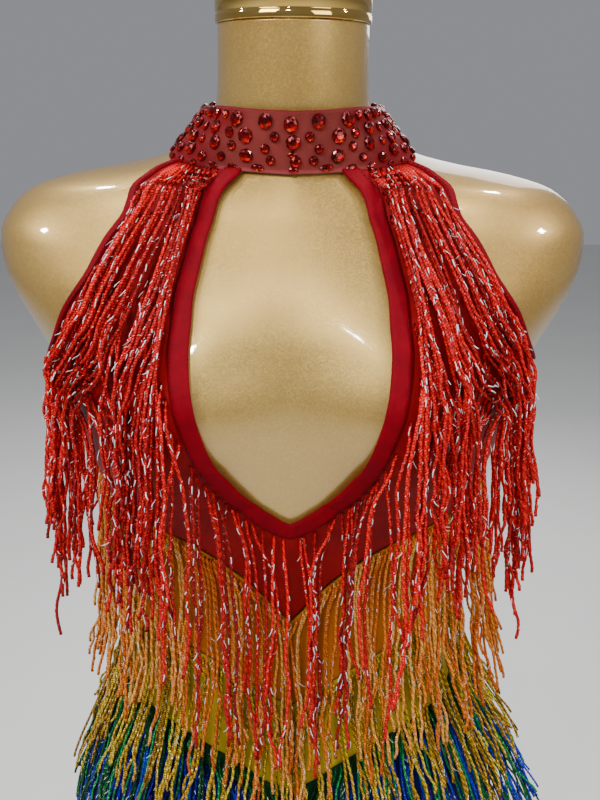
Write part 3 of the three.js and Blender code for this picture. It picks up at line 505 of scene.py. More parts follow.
def stone_glass():
    """Foil-backed faceted glass: wine-dark, with painted glints of red and orange on its facets, from their
    glint value.
    """
    s = Shader("rhinestone_glass", Coat_Weight=0.18, Coat_Roughness=0.02, Specular_IOR_Level=0.4,
               Metallic=0.75)
    # painted glints: each facet's colour runs from wine-dark to bright orange by its painted glint value
    colour = s.ramp(s.value("glint"), (0.0, "3C0002"), (0.2, "7E0206"), (0.45, "CC0408"), (0.7, "FF1A06"),
                    (0.95, "FF8A10"))
    depth = s.noise(s.place(), 900.0)
    colour = s.mix(1.0, colour, s.ramp(depth, (0.35, 0.5), (0.65, 1.0)), "MULTIPLY")
    return s.finish(colour, s.math("MULTIPLY_ADD", depth, 0.12, 0.1))


materials = {
    "gold": gold_skin(),
    "cap": bright_metal("cap_mirror_gold", "B4852A", "ECCC80", (1, 1, 9), 30.0, 4.0, (0.05, 0.025), 0.25),
    "steel": bright_metal("stand_brushed_steel", "A8A9AE", "D6D7DA", (1, 60, 60), 30.0, 3.0, (0.2, 0.24),
                          0.3),
    "collar_net": sheer_net("collar_net_mesh"),
    "red_net": net("red_net_mesh", "7A0008", "98040E", "560006"),
    "orange_net": net("orange_net_mesh", "AC5604", "D07C10", "7A3C06"),
    "yellow_net": net("yellow_net_mesh", "A48A10", "CCB022", "766208"),
    "green_net": net("green_net_mesh", "022C12", "05401E", "011A0A"),
    "blue_net": net("blue_net_mesh", "040850", "081280", "020430"),
    "purple_net": net("purple_net_mesh", "1C0850", "2C1070", "100430"),
    "binding": matte_binding(),
    "stitch": cord("crimson_stitch_thread", "5A040C", "7A0A14", "9C1824", "B03040", 0.0),
    "stone": stone_glass(),
    "red": cord("red_knit_cord", "9A0002", "D80204", "FF1206", "F6F4FF", 0.0, threads=0.04),
    "orange": cord("orange_knit_cord", "D85A04", "FF8A18", "FFB654", "FFF0E0", 0.0),
    "yellow": cord("gold_lurex_cord", "A87400", "EAB004", "FFE030", "FFF8B8", 0.15, 0.38, 0.14, 0.05, 0.45),
    "green": cord("green_lurex_cord", "03401A", "057A36", "14B85A", "C8F4E0", 0.15, 0.42, 0.1),
    "blue": cord("blue_lurex_cord", "020C90", "0618DC", "2048FF", "C8D8FF", 0.1, 0.42, 0.08),
    "purple": cord("purple_lurex_cord", "26086C", "421AA8", "7040E0", "DCC8FF", 0.1, 0.42, 0.1),
    "silver_foil": lurex_foil("silver_lurex_foil", "E6E8F6"),
    "gold_foil": lurex_foil("gold_lurex_foil", "FFEFA8"),
}


# --- dress form and stand
def make_form(sides=144):
    turns = np.arange(sides) * 360.0 / sides
    bowl = LOWEST - BOWL_DEPTH * np.sin(np.linspace(math.pi / 2 * 0.97, 0.05, 16))
    ups = np.concatenate([bowl, np.arange(LOWEST, 300, 6.0), np.arange(300, NECK_TOP, 3.0), [NECK_TOP]])
    revolve("dress_form", body(turns[None, :], ups[:, None]), "gold", "form_gold", "form")


def neck_ring(up, grow, sides=96):
    ring = body(np.arange(sides) * 360.0 / sides, NECK_TOP)
    centre = np.array([0, float(ring_curves["shift"](NECK_TOP)), 0])
    ring = centre + (ring - centre) * np.array([grow, grow, 1])
    ring[:, 2] = WAIST + up
    return ring


def make_cap():
    foot = NECK_TOP + 0.3
    profile = [
        (foot, 0.99), (foot, 1.022), (foot + 0.8, 1.03), (foot + 5, 1.03), (foot + 5.6, 1.018),
        (foot + 6.4, 1.018), (foot + 7, 1.03), (CAP_TOP - 4, 1.03), (CAP_TOP - 1.2, 1.012),
        (CAP_TOP, 0.96), (CAP_TOP, 0.5),
    ]
    rings = np.stack([neck_ring(up, grow) for up, grow in profile])
    revolve("neck_cap_polished", rings, "cap", "cap_mirror", "neck_cap")


def circle(x, y, z, across, deep, sides=96):
    angle = np.arange(sides) * 2 * math.pi / sides
    return np.stack([x + across * np.cos(angle), y + deep * np.sin(angle), np.full(sides, z)], -1)


def make_stand():
    thick, length, width = BASE["thickness"], BASE["half_length"], BASE["half_width"]
    profile = [  # height, and how far inside the plate's edge
        (0.0, 0.8), (0.0, 0.0), (thick - 2.4, 0.0), (thick - 0.9, 0.5), (thick - 0.2, 1.4),
        (thick, 2.4), (thick, 40),
    ]
    rings = np.stack([circle(0, 0, z, length - inset, width - inset) for z, inset in profile])
    revolve("base_plate_disc", rings, "steel", "stand_steel", "base_plate")
    for name, side in (("rod_left", 1), ("rod_right", -1)):
        low, high = (corner * 1000 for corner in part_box(name))
        foot = [(0, 15.0), (1.5, 17.0), (7, 17.0), (9, 15.5), (10, ROD_RADIUS)]  # height, radius
        profile = [(low.z + up, radius) for up, radius in foot] + [(high.z, ROD_RADIUS)]
        y = (low.y + high.y) / 2
        rings = np.stack([circle(side * ROD_APART, y, z, radius, radius, 40) for z, radius in profile])
        revolve(name + "_tube", rings, "steel", "stand_steel", name)


# --- collar
COLLAR_THICKNESS = 1.0
COLLAR_SLIT = 2.0  # degrees between the nape and each end of the band


def collar_point(turn, down, lift):
    """A place on the collar, at a share of its height down from the top edge."""
    side = np.abs(turn)
    low = raised(turn, collar_curves["bottom"](side), CLOTH_GAP + 0.6 + lift)
    high = raised(turn, collar_curves["top"](side), 4.5 + lift)
    return high + (low - high) * np.asarray(down, float)[..., None]


def collar_wave(turn, down):
    """The net's top edge waves a little between the stones."""
    return 0.5 * np.sin(np.radians(turn * 7)) * (1 - down) ** 2 + 0.25 * np.sin(np.radians(turn * 17 + 40))


# Stones on the collar: turn, share down the collar, width and height in millimetres, and lean
# in degrees. The side stones are set on both sides.
CENTRE_STONES = [
    (-0.8, 0.22, 9.6, 10.6, 0), (0.9, 0.5, 9.8, 9.6, 8), (0.0, 0.69, 6.0, 4.4, 0),
    (2.4, 0.81, 7.6, 8.0, 14), (1.2, 0.94, 6.4, 4.6, -8),
]
SIDE_STONES = [
    (15.0, 0.18, 9.6, 10.4, 6), (31.5, 0.18, 9.0, 10.4, 10), (22.6, 0.43, 9.8, 10.4, -16),
    (9.4, 0.42, 6.4, 6.6, 0), (12.9, 0.62, 6.2, 6.4, 20), (10.2, 0.8, 6.2, 6.2, 0),
    (19.4, 0.75, 9.6, 8.6, 24), (14.4, 0.93, 9.0, 4.6, 6), (40.5, 0.13, 5.6, 6.6, 0),
    (47.5, 0.14, 6.2, 7.4, 8), (54.5, 0.13, 6.6, 7.8, 12), (31.0, 0.4, 6.0, 7.4, -6),
    (40.5, 0.35, 7.4, 9.4, 10), (48.0, 0.36, 5.2, 6.8, 14), (56.5, 0.34, 6.4, 8.0, 20),
    (26.6, 0.61, 6.0, 6.6, 0), (34.6, 0.59, 7.4, 9.8, 6), (42.8, 0.57, 5.0, 6.4, 4),
    (50.0, 0.56, 7.8, 9.0, 12), (28.4, 0.8, 5.8, 6.0, 30), (44.6, 0.75, 7.8, 9.0, 24),
    (36.0, 0.84, 6.6, 7.2, 16), (22.6, 0.95, 7.8, 4.2, 14), (29.6, 0.95, 6.6, 4.0, 20),
    (52.6, 0.78, 6.4, 7.6, 20), (37.8, 0.96, 5.2, 4.0, 0), (45.0, 0.95, 5.6, 4.2, 6),
    (52.6, 0.95, 5.4, 4.2, 0),
]


def side_stone_rows(rng):
    """Stones packed closely from the sides round to the nape, in loose staggered rows."""
    stones = []
    for row, down in enumerate((0.12, 0.33, 0.54, 0.75, 0.93)):
        turn = 58.0 + 3.0 * (row % 2)
        while turn < 173:
            big = rng.random() < 0.35
            size = rng.uniform(7.2, 8.8) if big else rng.uniform(4.6, 6.4)
            size *= 0.75 if row == 4 else 1.0
            degrees = size * 0.62 + 1.2
            stones.append((turn + degrees / 2, down + rng.uniform(-0.03, 0.03), size,
                           size * rng.uniform(0.95, 1.3), rng.uniform(-25, 25)))
            turn += degrees
    return stones


def faceted_stone(centre, across, up, out, wide, tall):
    """A domed stone: table, star and girdle facets over a flat back."""
    height = min(3.0, 0.4 * min(wide, tall))
    eight = np.arange(8) * math.pi / 4
    between = eight + math.pi / 8
    rings = [(between, 0.46, 1.0), (eight, 0.8, 0.78), (between, 1.0, 0.34), (between, 0.96, 0.0)]
    points = []
    for angle, size, level in rings:
        ring = (np.cos(angle)[:, None] * across * wide / 2 + np.sin(angle)[:, None] * up * tall / 2) * size
        points.append(centre + ring + out * height * level)
    points += [(centre + out * height)[None, :], centre[None, :]]
    table, star, girdle, foot = 0, 8, 16, 24
    top, back = 32, 33
    faces = []
    for i in range(8):
        j, h = (i + 1) % 8, (i - 1) % 8
        faces += [
            (top, table + i, table + j), (back, foot + j, foot + i),
            (table + i, star + j, table + j), (table + i, star + i, star + j),
            (star + i, girdle + i, star + j), (star + i, girdle + h, girdle + i),
            (girdle + i, foot + i, foot + j), (girdle + i, foot + j, girdle + j),
        ]
    return np.concatenate(points), np.array(faces)


def stone_axes(turn, down, lean):
    """Directions across, up and out of the collar for a stone that leans."""
    across = unit(collar_point(turn + 1, down, 0) - collar_point(turn - 1, down, 0))
    rise = unit(collar_point(turn, down - 0.05, 0) - collar_point(turn, down + 0.05, 0))
    out = unit(np.cross(across, rise))
    up = np.cross(out, across)
    cosine, sine = math.cos(math.radians(lean)), math.sin(math.radians(lean))
    return across * cosine + up * sine, up * cosine - across * sine, out


def make_stones(rng):
    stones = list(CENTRE_STONES)
    for turn, down, wide, tall, lean in SIDE_STONES + side_stone_rows(rng):
        stones += [(turn, down, wide, tall, lean), (-turn, down, wide, tall, -lean)]
    corners, glints = [], []
    for turn, down, wide, tall, lean in stones:
        centre = collar_point(turn, down, COLLAR_THICKNESS + 0.15)
        across, up, out = stone_axes(turn, down, lean)
        points, faces = faceted_stone(centre, across, up, out, wide, tall)
        corners.append(points[faces.ravel()])
        middles = points[faces].mean(1) - centre
        # Painted glints: a random painted brightness for each facet, with more of it on the stone's lower
        # facets.
        low = -(middles @ up) / tall + 0.25 * (middles @ across) / wide
        dim = 0.3 * rng.beta(1.2, 2.4, len(faces))
        lit = 0.75 * ease((low + 0.05) * 3.0) * rng.beta(1.6, 1.5, len(faces))
        glints.append(np.repeat(dim + lit, 3))
    corners = np.concatenate(corners)
    return make_piece(
        "collar_stones", corners, [], "stone", "rhinestone", triangles=np.arange(len(corners)),
        smooth=False, values={"glint": np.concatenate(glints)},
    )


def make_collar_band():
    reach = 180 - COLLAR_SLIT
    turn, down = np.meshgrid(np.linspace(-reach, reach, 241), np.linspace(0, 1, 17))
    wave = collar_wave(turn, down)
    hem = 0.5 * np.exp(-((down - 0.03) / 0.035) ** 2) + 0.45 * np.exp(-((down - 0.97) / 0.03) ** 2)
    outer = collar_point(turn, down, COLLAR_THICKNESS + wave + hem)
    inner = collar_point(turn, down, wave * 0.6)
    side = np.abs(turn)
    values = {
        "double": ease((side - 26 + 5 * np.sin(down * 9)) / 16),
        "hem": 1 - ease(down / 0.06),
        "fray": ease((down - 0.93) / 0.07) * (1 - ease((side - 24) / 10)),
    }
    values = {name: np.tile(numbers.ravel(), 2) for name, numbers in values.items()}
    return make_sheet("collar_band", outer, inner, "collar_net", "collar_net", "collar", values)


def make_hook():
    turns = np.linspace(-7, 7, 15)
    turn, down = np.meshgrid(np.where(turns > 0, turns - 180, turns + 180), np.linspace(0.25, 0.75, 9))
    outer, inner = (collar_point(turn, down, COLLAR_THICKNESS + lift) for lift in (2.2, 0.8))
    make_sheet("nape_hook_plate", outer, inner, "steel", "stand_steel", "nape_hook")


# --- halter front
def halter_spot(cut, across):
    """Turn, height and stand-off of a place on the left half of the halter."""
    inner_turn, inner_up = cut_curves["inner_turn"](cut), cut_curves["inner_up"](cut)
    outer_turn = cut_curves["outer_turn"](cut)
    outer_up = np.where(cut > HEM_CUT, seam_curves["red"](outer_turn) + HEM_GAP, cut_curves["outer_up"](cut))
    turn = inner_turn + (outer_turn - inner_turn) * across
    up = inner_up + (outer_up - inner_up) * across
    middle = np.sqrt(np.clip(np.sin(np.pi * np.minimum(1, cut / KEYHOLE_LAST_CUT)), 0, 1))
    near = np.clip(1 - across * 2.2, 0, 1)
    return turn, up, KEYHOLE_LIFT * middle * near * near


def cut_length(cut):
    shares = np.linspace(0, 1, 13)
    turn, up, _ = halter_spot(cut, shares)
    return np.linalg.norm(np.diff(body(turn, up), axis=0), axis=1).sum()


HALTER_STEPS = 120
row_index = np.arange(2 * HALTER_STEPS + 1)
row_cuts = LAST_CUT * (1 - np.abs(row_index - HALTER_STEPS) / HALTER_STEPS)
row_sides = np.where(row_index < HALTER_STEPS, -1.0, 1.0)
row_lengths = np.array([cut_length(c) for c in row_cuts])


def make_halter(columns=30):
    """The red front: a row of points for each cut, from the keyhole's edge to the outer edge."""
    turn, up, extra = halter_spot(row_cuts[:, None], np.linspace(0, 1, columns)[None, :])
    turn = turn * row_sides[:, None]
    depth = creased(turn, up)
    outer = raised(turn, up, CLOTH_OUTSIDE + extra - depth)[::-1]
    inner = raised(turn, up, CLOTH_INSIDE + extra - depth * INSIDE_CREASE)[::-1]
    return make_sheet("halter_net", outer, inner, "red_net", "red_net", "halter_front")


def make_binding(name, node, spots, width, thick, stitch_at):
    """A folded band with rolled edges on the cloth, and the line of stitches along it.

    spots gives the band's points at a share of its width and a height.
    """
    across = np.linspace(0, 1, 9)
    heights = thick * (0.35 + 0.65 * ease(np.minimum(across, 1 - across) * width / 1.6))
    outer = np.stack([spots(share, height) for share, height in zip(across, heights)], 1)
    inner = np.stack([spots(share, 0.0) for share in across], 1)
    band = make_sheet(name, outer[::-1], inner[::-1], "binding", "crimson_binding", node)
    return band, make_stitches(name + "_stitches", spots(stitch_at, thick + 0.1))


def run_along(path):
    """The distance along a path at each of its points."""
    return np.concatenate([[0], np.cumsum(np.linalg.norm(np.diff(path, axis=0), axis=1))])


def points_at(path, run, distances):
    return np.stack([np.interp(distances, run, path[:, i]) for i in range(3)], -1)


def make_stitches(name, line, pitch=3.0, length=2.1, radius=0.28):
    run = run_along(line)
    starts = np.arange(pitch, run[-1] - pitch, pitch)
    paths = [points_at(line, run, start + np.linspace(0, length, 4)) for start in starts]
    return make_cords(name, paths, radius, "stitch", "crimson_binding", sides=4, twist=0.0)


# --- cords
LEVEL = np.array([1, 1, 0])
CORD_LOBES = 0.1


def make_cords(name, paths, radius, look, slot, node=None, sides=6, twist=0.55, tones=None):
    """Many twisted cords as one mesh. Each path is a run of points from the root to the end."""
    spokes = np.arange(sides)
    lobes = radius * (1 + CORD_LOBES * np.cos(spokes * math.pi))
    caps = np.array([(0, k, k + 1, k + 2) for k in range(1, sides - 2, 2)])
    all_points, all_quads, all_uv, all_tones = [], [], [], []
    start = 0
    for path, tone in zip(paths, [0.5] * len(paths) if tones is None else tones):
        count = len(path)
        along = unit(np.gradient(path, axis=0))
        side = unit(np.cross(along, unit(path * LEVEL)))
        face = np.cross(side, along)
        run = run_along(path)
        angle = spokes * 2 * math.pi / sides + run[:, None] * twist
        size = lobes[None, :] * np.ones((count, 1))
        size[0] *= 0.7
        spoke = np.cos(angle)[..., None] * face[:, None, :] + np.sin(angle)[..., None] * side[:, None, :]
        all_points.append((path[:, None, :] + size[..., None] * spoke).reshape(-1, 3))
        r, c = np.meshgrid(np.arange(count - 1), spokes, indexing="ij")
        u = np.stack([c, c, c + 1, c + 1], -1) / sides
        v = run[np.stack([r, r + 1, r + 1, r], -1)]
        last = start + (count - 1) * sides
        all_quads += [grid_quads(count, sides, ring=True, start=start), start + caps, last + caps[:, ::-1]]
        all_uv += [np.stack([u, v], -1).reshape(-1, 2), np.tile([[0.5, 0.0]], (8 * len(caps), 1))]
        all_tones.append(np.full(count * sides, tone))
        start += count * sides
    return make_piece(
        name, np.concatenate(all_points), np.concatenate(all_quads), look, slot, node,
        np.concatenate(all_uv), values={"tone": np.concatenate(all_tones)},
    )


COLOUR_ROWS = ("red", "orange", "yellow", "green", "blue")
CORD_LIFT = 5.0
CORD_STEP = 3.6  # how much higher each layer of strands lies
LAYER_START = 56.0
LAYER_FULL = 40.0
RELEASE_UP = 195.0  # below the chest's widest place, where the red strands hang free
STEEPEST = 0.6
WIDEST_LANE = 141.0
SWEEP = 8  # rings on each side over which a strand's changes of course are spread
SETTLE_FALL = 30.0  # how far down a strand takes to hang plumb
RISE_FALL = 13.0  # how far down it takes to rise over the rows beneath it
TIP_SHARE = 0.22  # share of its length that is a loose end
RING_STEP = {"red": 3.0, "orange": 3.0, "yellow": 3.0, "green": 3.2, "blue": 3.2, "purple": 3.2}
CORD_RADIUS = {"red": 1.2, "orange": 1.1, "yellow": 1.05, "green": 0.95, "blue": 0.95, "purple": 0.95}


def hang(turn, up, top):
    """Where a strand hangs plumb: below the widest point of the body between it and its top.

    Returns places seen from above, and the level part of the body's outward direction there.
    """
    levels = up[:, None] + np.arange(0, 60)[None, :] * 6.0
    points = body(turn[:, None], levels)
    reach = np.hypot(points[..., 0], points[..., 1])
    reach[levels > np.maximum(top, up)[:, None] + 0.01] = -1
    pick, best = np.arange(len(up)), reach.argmax(1)
    return points[pick, best, :2], outward(turn, levels[pick, best])[:, :2]


def turn_at(x, up):
    """The turn at which the body's skin is x millimetres to the side, at a height."""
    reach = np.clip(np.abs(x) / ring_curves["half"](up), 0, 0.99)
    return np.degrees(np.arcsin(reach ** (ring_curves["square"](up) / 2))) * np.sign(x)


def layers_under(rank, layer, turn, up):
    """How many layers of strands lie between the cloth and a strand."""
    side = side_of(turn)
    layers = np.zeros(len(up)) + layer
    for seam in COLOUR_ROWS[rank:]:
        layers = layers + ease((seam_curves[seam](side) + LAYER_START - up) / LAYER_FULL)
    return layers


def gathered(turn, up, seed):
    """Sideways shift that draws neighbouring strands into locks and leaves partings between."""
    pull = 2.2 if seed == 0 else 3.2
    return (
        pull * np.sin(np.radians(turn * 19 + seed * 77 + up * 0.35))
        + 1.7 * np.sin(np.radians(turn * 43 - up * 0.9 + seed * 31))
    )


def smoothed(values, reach=2):
    kernel = np.hanning(2 * reach + 3)[1:-1]
    kernel /= kernel.sum()
    padded = np.concatenate([np.repeat(values[:1], reach, 0), values, np.repeat(values[-1:], reach, 0)])
    return np.stack([np.convolve(padded[:, i], kernel, mode="valid") for i in range(values.shape[1])], -1)


def strand(rng, colour, rank, layer, root, drop, drift, cloth_top, flare=0.0):
    """The path of one strand from its root to its end; drift gives its turn on the way down.

    root is a height and a stand-off. flare is how far its end springs out on the wearer's left,
    where the photo's fringe stands off.
    """
    root_up, root_extra = root
    count = max(8, int(drop / RING_STEP[colour]))
    fall = np.linspace(0, 1, count) ** 1.03 * drop
    up = root_up - fall
    share = fall / drop
    turn = drift(fall, up)
    flat, out = hang(turn, up, np.minimum(root_up, cloth_top(turn)))
    if count > 2 * SWEEP:
        settled = ease(fall / SETTLE_FALL)[:, None]
        flat = flat * (1 - settled) + smoothed(flat, SWEEP) * settled
    level = np.maximum(STEEPEST, np.hypot(out[:, 0], out[:, 1]))
    out = unit(out)
    tangent = np.stack([-out[:, 1], out[:, 0]], -1)

    # How far it lies off the cloth: over the rows beneath it, and sprung out at the flare.
    risen = ease(fall / RISE_FALL)
    layers = layers_under(rank, layer * (1 - 0.8 * ease((side_of(turn) - 38) / 36)), turn, up)
    layers = layers * rng.uniform(0.5, 1.05)
    lift = (CORD_LIFT + rng.uniform(-0.4, 1.6) * risen + CORD_STEP * risen * layers) / level
    lift = lift * (0.55 + 0.45 * ease(fall / 4.0))
    lift = lift + flare * share ** 1.3 * np.clip(np.sin(np.radians(turn)), 0, 1) ** 2

    # Its own slow wave and short ripple, the lock that it is drawn to, and a stray end.
    loose = ease((share - 0.08) * 1.6)
    wave = rng.uniform(40, 110, 2)
    phase = rng.uniform(0, 2 * math.pi, 4)
    ripple = rng.uniform(0.4, 2.2) * np.sin(2 * math.pi * fall / wave[0] + phase[0])
    ripple += rng.uniform(0.2, 0.8) * np.sin(2 * math.pi * fall / rng.uniform(16, 32) + phase[1])
    ripple = ripple * loose + gathered(turn, up, rank) * loose
    stand = np.abs(rng.normal(0, 1.4)) * np.sin(2 * math.pi * fall / wave[1] + phase[2]) ** 2 * loose
    tip = ease((share - (1 - TIP_SHARE)) / TIP_SHARE)
    ripple = ripple + rng.normal(0, 3.6) * tip
    stand = stand + np.abs(rng.normal(0, 2.6)) * tip
    flat = flat + out * (lift + root_extra + stand)[:, None] + tangent * ripple[:, None]
    return np.concatenate([flat, (WAIST + up)[:, None]], 1)


BROKEN_FLECKS = 0.2  # share of the foil threads that stick out of their cord
WIDE_FOIL, NARROW_FOIL = 0.36, 0.26
RED_FOIL_SPACING = 16.0


def fleck(rng, path, run, at, length, radius, width):
    """The 12 points of one foil thread on a cord: four narrow triangles along it."""
    line = points_at(path, run, np.linspace(at, min(at + length, run[-1]), 4))
    along = unit(line[-1] - line[0])
    side = unit(np.cross(along, unit(line[0] * LEVEL)))
    face = np.cross(side, along)
    angle = rng.uniform(-1.2, 1.2) + np.linspace(0, rng.uniform(-1.0, 1.0), 4)
    away = np.full(4, radius + 0.12)
    if rng.random() < BROKEN_FLECKS:
        away = away + np.linspace(0, rng.uniform(0.8, 3.2), 4) ** 1.2
    radial = np.cos(angle)[:, None] * face + np.sin(angle)[:, None] * side
    spine = line + radial * away[:, None]
    half = unit(np.cross(along, radial)) * (width * rng.uniform(0.75, 1.2))
    return np.stack([spine + half, spine - half, spine + radial * 0.22], 1).reshape(-1, 3)


def make_flecks(name, paths, radius, spacing, look, slot, rng, longest=6.0, width=WIDE_FOIL):
    """Foil threads that wind part of the way round the cords, some of them breaking away."""
    flecks = []
    for path in paths:
        run = run_along(path)
        at = rng.exponential(spacing)
        while at < run[-1] - 4:
            length = rng.uniform(1.6, longest)
            flecks.append(fleck(rng, path, run, at, length, radius, width))
            at += length + rng.exponential(spacing)
    starts = 12 * np.arange(len(flecks))[:, None]
    quads = (starts[..., None] + grid_quads(4, 3, ring=True)).reshape(-1, 4)
    ends = (starts[..., None] + np.array([(0, 1, 2), (11, 10, 9)])).reshape(-1, 3)
    return make_piece(name, np.concatenate(flecks), quads, look, slot, triangles=ends)


# --- rows of fringe
# The armhole's edge: its turn at each height, and its height at each turn.
cut_table = np.array(CUTS, float)
arm_rows = cut_table[cut_table[:, 0] <= UNDERARM_CUT][::-1]
armhole_turn = smooth_curve(arm_rows[:, 4], arm_rows[:, 3])
low_arm = cut_table[(cut_table[:, 0] >= 2) & (cut_table[:, 0] <= UNDERARM_CUT)]
armhole_up = smooth_curve(low_arm[:, 3], low_arm[:, 4])
UNDERARM_UP = float(arm_rows[0][4])

# Rows of red cords on each half of the halter: where a row starts and ends as (cut, share
# across), and how far to the side its cords come to hang, in millimetres. A row with no share
# across follows the binding.
ROW_COLUMNS = ("part", "count", "layer", "lengths", "start", "end", "lanes")
RED_ROWS = [dict(zip(ROW_COLUMNS, row)) for row in (
    ("collar", 14, 3.2, (195, 255), (0.0, 0.3), (0.0, 0.95), (86, 138)),
    ("keyhole", 11, 2.4, (150, 215), (0.8, None), (6.0, None), (94, 70)),
    ("keyhole", 15, 2.0, (130, 185), (6.4, None), (15.8, None), (68, 4)),
    ("panel", 8, 2.2, (165, 220), (1.4, 0.3), (1.9, 0.86), (98, 134)),
    ("panel", 10, 1.6, (145, 195), (3.1, 0.24), (3.6, 0.84), (84, 134)),
    ("panel", 10, 1.0, (125, 180), (4.9, 0.16), (4.7, 0.82), (76, 132)),
    ("armhole", 16, 1.2, (145, 205), (0.4, 0.9), (6.5, 0.92), (126, 139)),
    ("armhole", 16, 0.4, (100, 152), (6.3, 0.12), (6.7, 0.82), (72, 136)),
)]


def binding_limit():
    """The keyhole binding's outer edge, as a turn for each depth, and how low it reaches."""
    cuts = np.linspace(0, KEYHOLE_LAST_CUT, 25)
    edge = [halter_spot(c, (BINDING_WIDTH + 1.0) / cut_length(c))[:2] for c in cuts]
    return smooth_curve([-float(up) for _, up in edge], [float(turn) for turn, _ in edge]), float(edge[-1][1])


binding_turn, BINDING_END_UP = binding_limit()


def red_root(row, share):
    """The cut and the share across of a cord's root, at a share of the way along its row."""
    (first_cut, first_across), (last_cut, last_across) = row["start"], row["end"]
    cut = first_cut + (last_cut - first_cut) * share
    if first_across is None:
        return cut, (BINDING_WIDTH + 2.0) / cut_length(cut)
    return cut, first_across + (last_across - first_across) * share


def red_strand(rng, row, share, side):
    """One cord of a row, kept between the binding and the armhole's edge while it lies there."""
    turn, up, extra = (float(v) for v in halter_spot(*red_root(row, share)))
    near, far = row["lanes"]
    lane = min(max(1.0, near + (far - near) * share + rng.normal(0, 5.0)), WIDEST_LANE)
    start = float(body(turn, up)[0])
    settle = max(35.0, up - RELEASE_UP + 15.0) * rng.uniform(0.8, 1.15)
    outer = min(max((lane - 84.0) / 50.0, 0.0), 1.0)
    inset = 1.6 + rng.uniform(0, 2.0)
    clearance = rng.uniform(0.2, 1.6)

    def drift(fall, ups):
        t = np.clip(fall / settle, 0, 1)
        x = start + (lane - start) * (outer * t * (2 - t) + (1 - outer) * (0.5 * t + 0.5 * ease(t)))
        turns = turn_at(x, np.maximum(ups, min(RELEASE_UP, up)))
        turns = turns + (turn - turns[0]) * (1 - ease(fall / 20.0))
        turns = np.where(ups > UNDERARM_UP, np.minimum(turns, armhole_turn(ups) - inset), turns)
        clear = binding_turn(-ups) + clearance
        return side * np.where(ups > BINDING_END_UP, np.maximum(turns, clear), turns)

    return strand(rng, "red", 0, row["layer"], (up, extra), rng.uniform(*row["lengths"]), drift,
                  lambda turns: armhole_up(np.abs(turns)))


def make_red_fringe(rng):
    made = []
    radius = CORD_RADIUS["red"]
    for part in ("collar", "keyhole", "panel", "armhole"):
        for side, hand in ((-1, "right"), (1, "left")):
            paths = []
            for row in (row for row in RED_ROWS if row["part"] == part):
                for k in range(row["count"]):
                    share = (k + 0.5 + rng.uniform(-0.42, 0.42)) / row["count"]
                    paths.append(red_strand(rng, row, share, side))
            name, tones = f"red_{part}_{hand}", rng.random(len(paths))
            made.append(make_cords("cords_" + name, paths, radius, "red", "red_cord",
                                   f"fringe_{part}_{hand}", tones=tones))
            made.append(make_flecks("foil_" + name, paths, radius, RED_FOIL_SPACING, "silver_foil",
                                    "red_cord", rng))
    return made


# Rows along a seam, front and back: the seam and how far below it they are sewn on, how many
# rows lie above, the number of strands, their lengths, the flare, and the foil threads.
SEAM_LEAN = 2.6
FRINGE_COLUMNS = (
    "colour", "seam", "below", "rank", "front", "back", "lengths", "flare", "spacing", "longest", "foil",
)
BELOW_SEAM = SEAM_GAP + 1.2
ROW_HALF_SPAN = 88.5  # degrees from a row's middle to its last strand
SIDE_TOP = 204.0  # height of the suit's edge under the arms
COLOUR_FRINGE = [dict(zip(FRINGE_COLUMNS, row)) for row in (
    ("orange", "red", BELOW_SEAM, 1, 140, 78, (112, 172), 11.0, 28.0, 4.5, "silver_foil"),
    ("yellow", "orange", BELOW_SEAM, 2, 116, 78, (104, 156), 18.0, 34.0, 3.5, "gold_foil"),
    ("green", "yellow", BELOW_SEAM, 3, 98, 76, (94, 140), 24.0, 42.0, 3.0, "silver_foil"),
    ("blue", "green", BELOW_SEAM, 4, 102, 76, (98, 140), 30.0, 48.0, 3.0, "silver_foil"),
    ("purple", "blue", BELOW_SEAM, 5, 88, 76, (112, 158), 32.0, 48.0, 3.0, "silver_foil"),
    ("red", "back_top", ARM_BINDING_WIDTH + 4.0, 0, 0, 60, (120, 165), 0.0, RED_FOIL_SPACING, 6.0,
     "silver_foil"),
)]


def seam_strand(rng, row, share, is_back):
    span = ROW_HALF_SPAN * (2 * share - 1)
    turn = 180 + span if is_back else span
    up = float(seam_curves[row["seam"]](side_of(turn))) - row["below"] + rng.uniform(-1.2, 0.9)
    lean = np.sign(span) * min(abs(span), SEAM_LEAN) * rng.uniform(0.6, 1.3)
    lane = turn - lean + rng.normal(0, 1.2)

    def drift(fall, ups):
        return turn + (lane - turn) * ease(fall / 22.0)

    return strand(rng, row["colour"], row["rank"], 0, (up, 0.0), rng.uniform(*row["lengths"]), drift,
                  lambda turns: np.full(len(turns), SIDE_TOP), row["flare"])


def seam_fringe(rng, row, part):
    """A thick row of cords along a seam, across the front or the back."""
    colour, count = row["colour"], row[part]
    paths = []
    for k in range(count):
        share = (k + 0.5 + rng.uniform(-0.3, 0.3)) / count
        paths.append(seam_strand(rng, row, share, part == "back"))
    name, slot, radius = f"{colour}_{part}", colour + "_cord", CORD_RADIUS[colour]
    tones = rng.random(count)
    return [
        make_cords("cords_" + name, paths, radius, colour, slot, "fringe_" + name, tones=tones),
        make_flecks("foil_" + name, paths, radius, row["spacing"], row["foil"], slot, rng, row["longest"],
                    NARROW_FOIL),
    ]


def make_colour_fringe(rng):
    rows = [(row, part) for row in COLOUR_FRINGE for part in ("front", "back") if row[part]]
    return {(row["colour"], part): seam_fringe(rng, row, part) for row, part in rows}


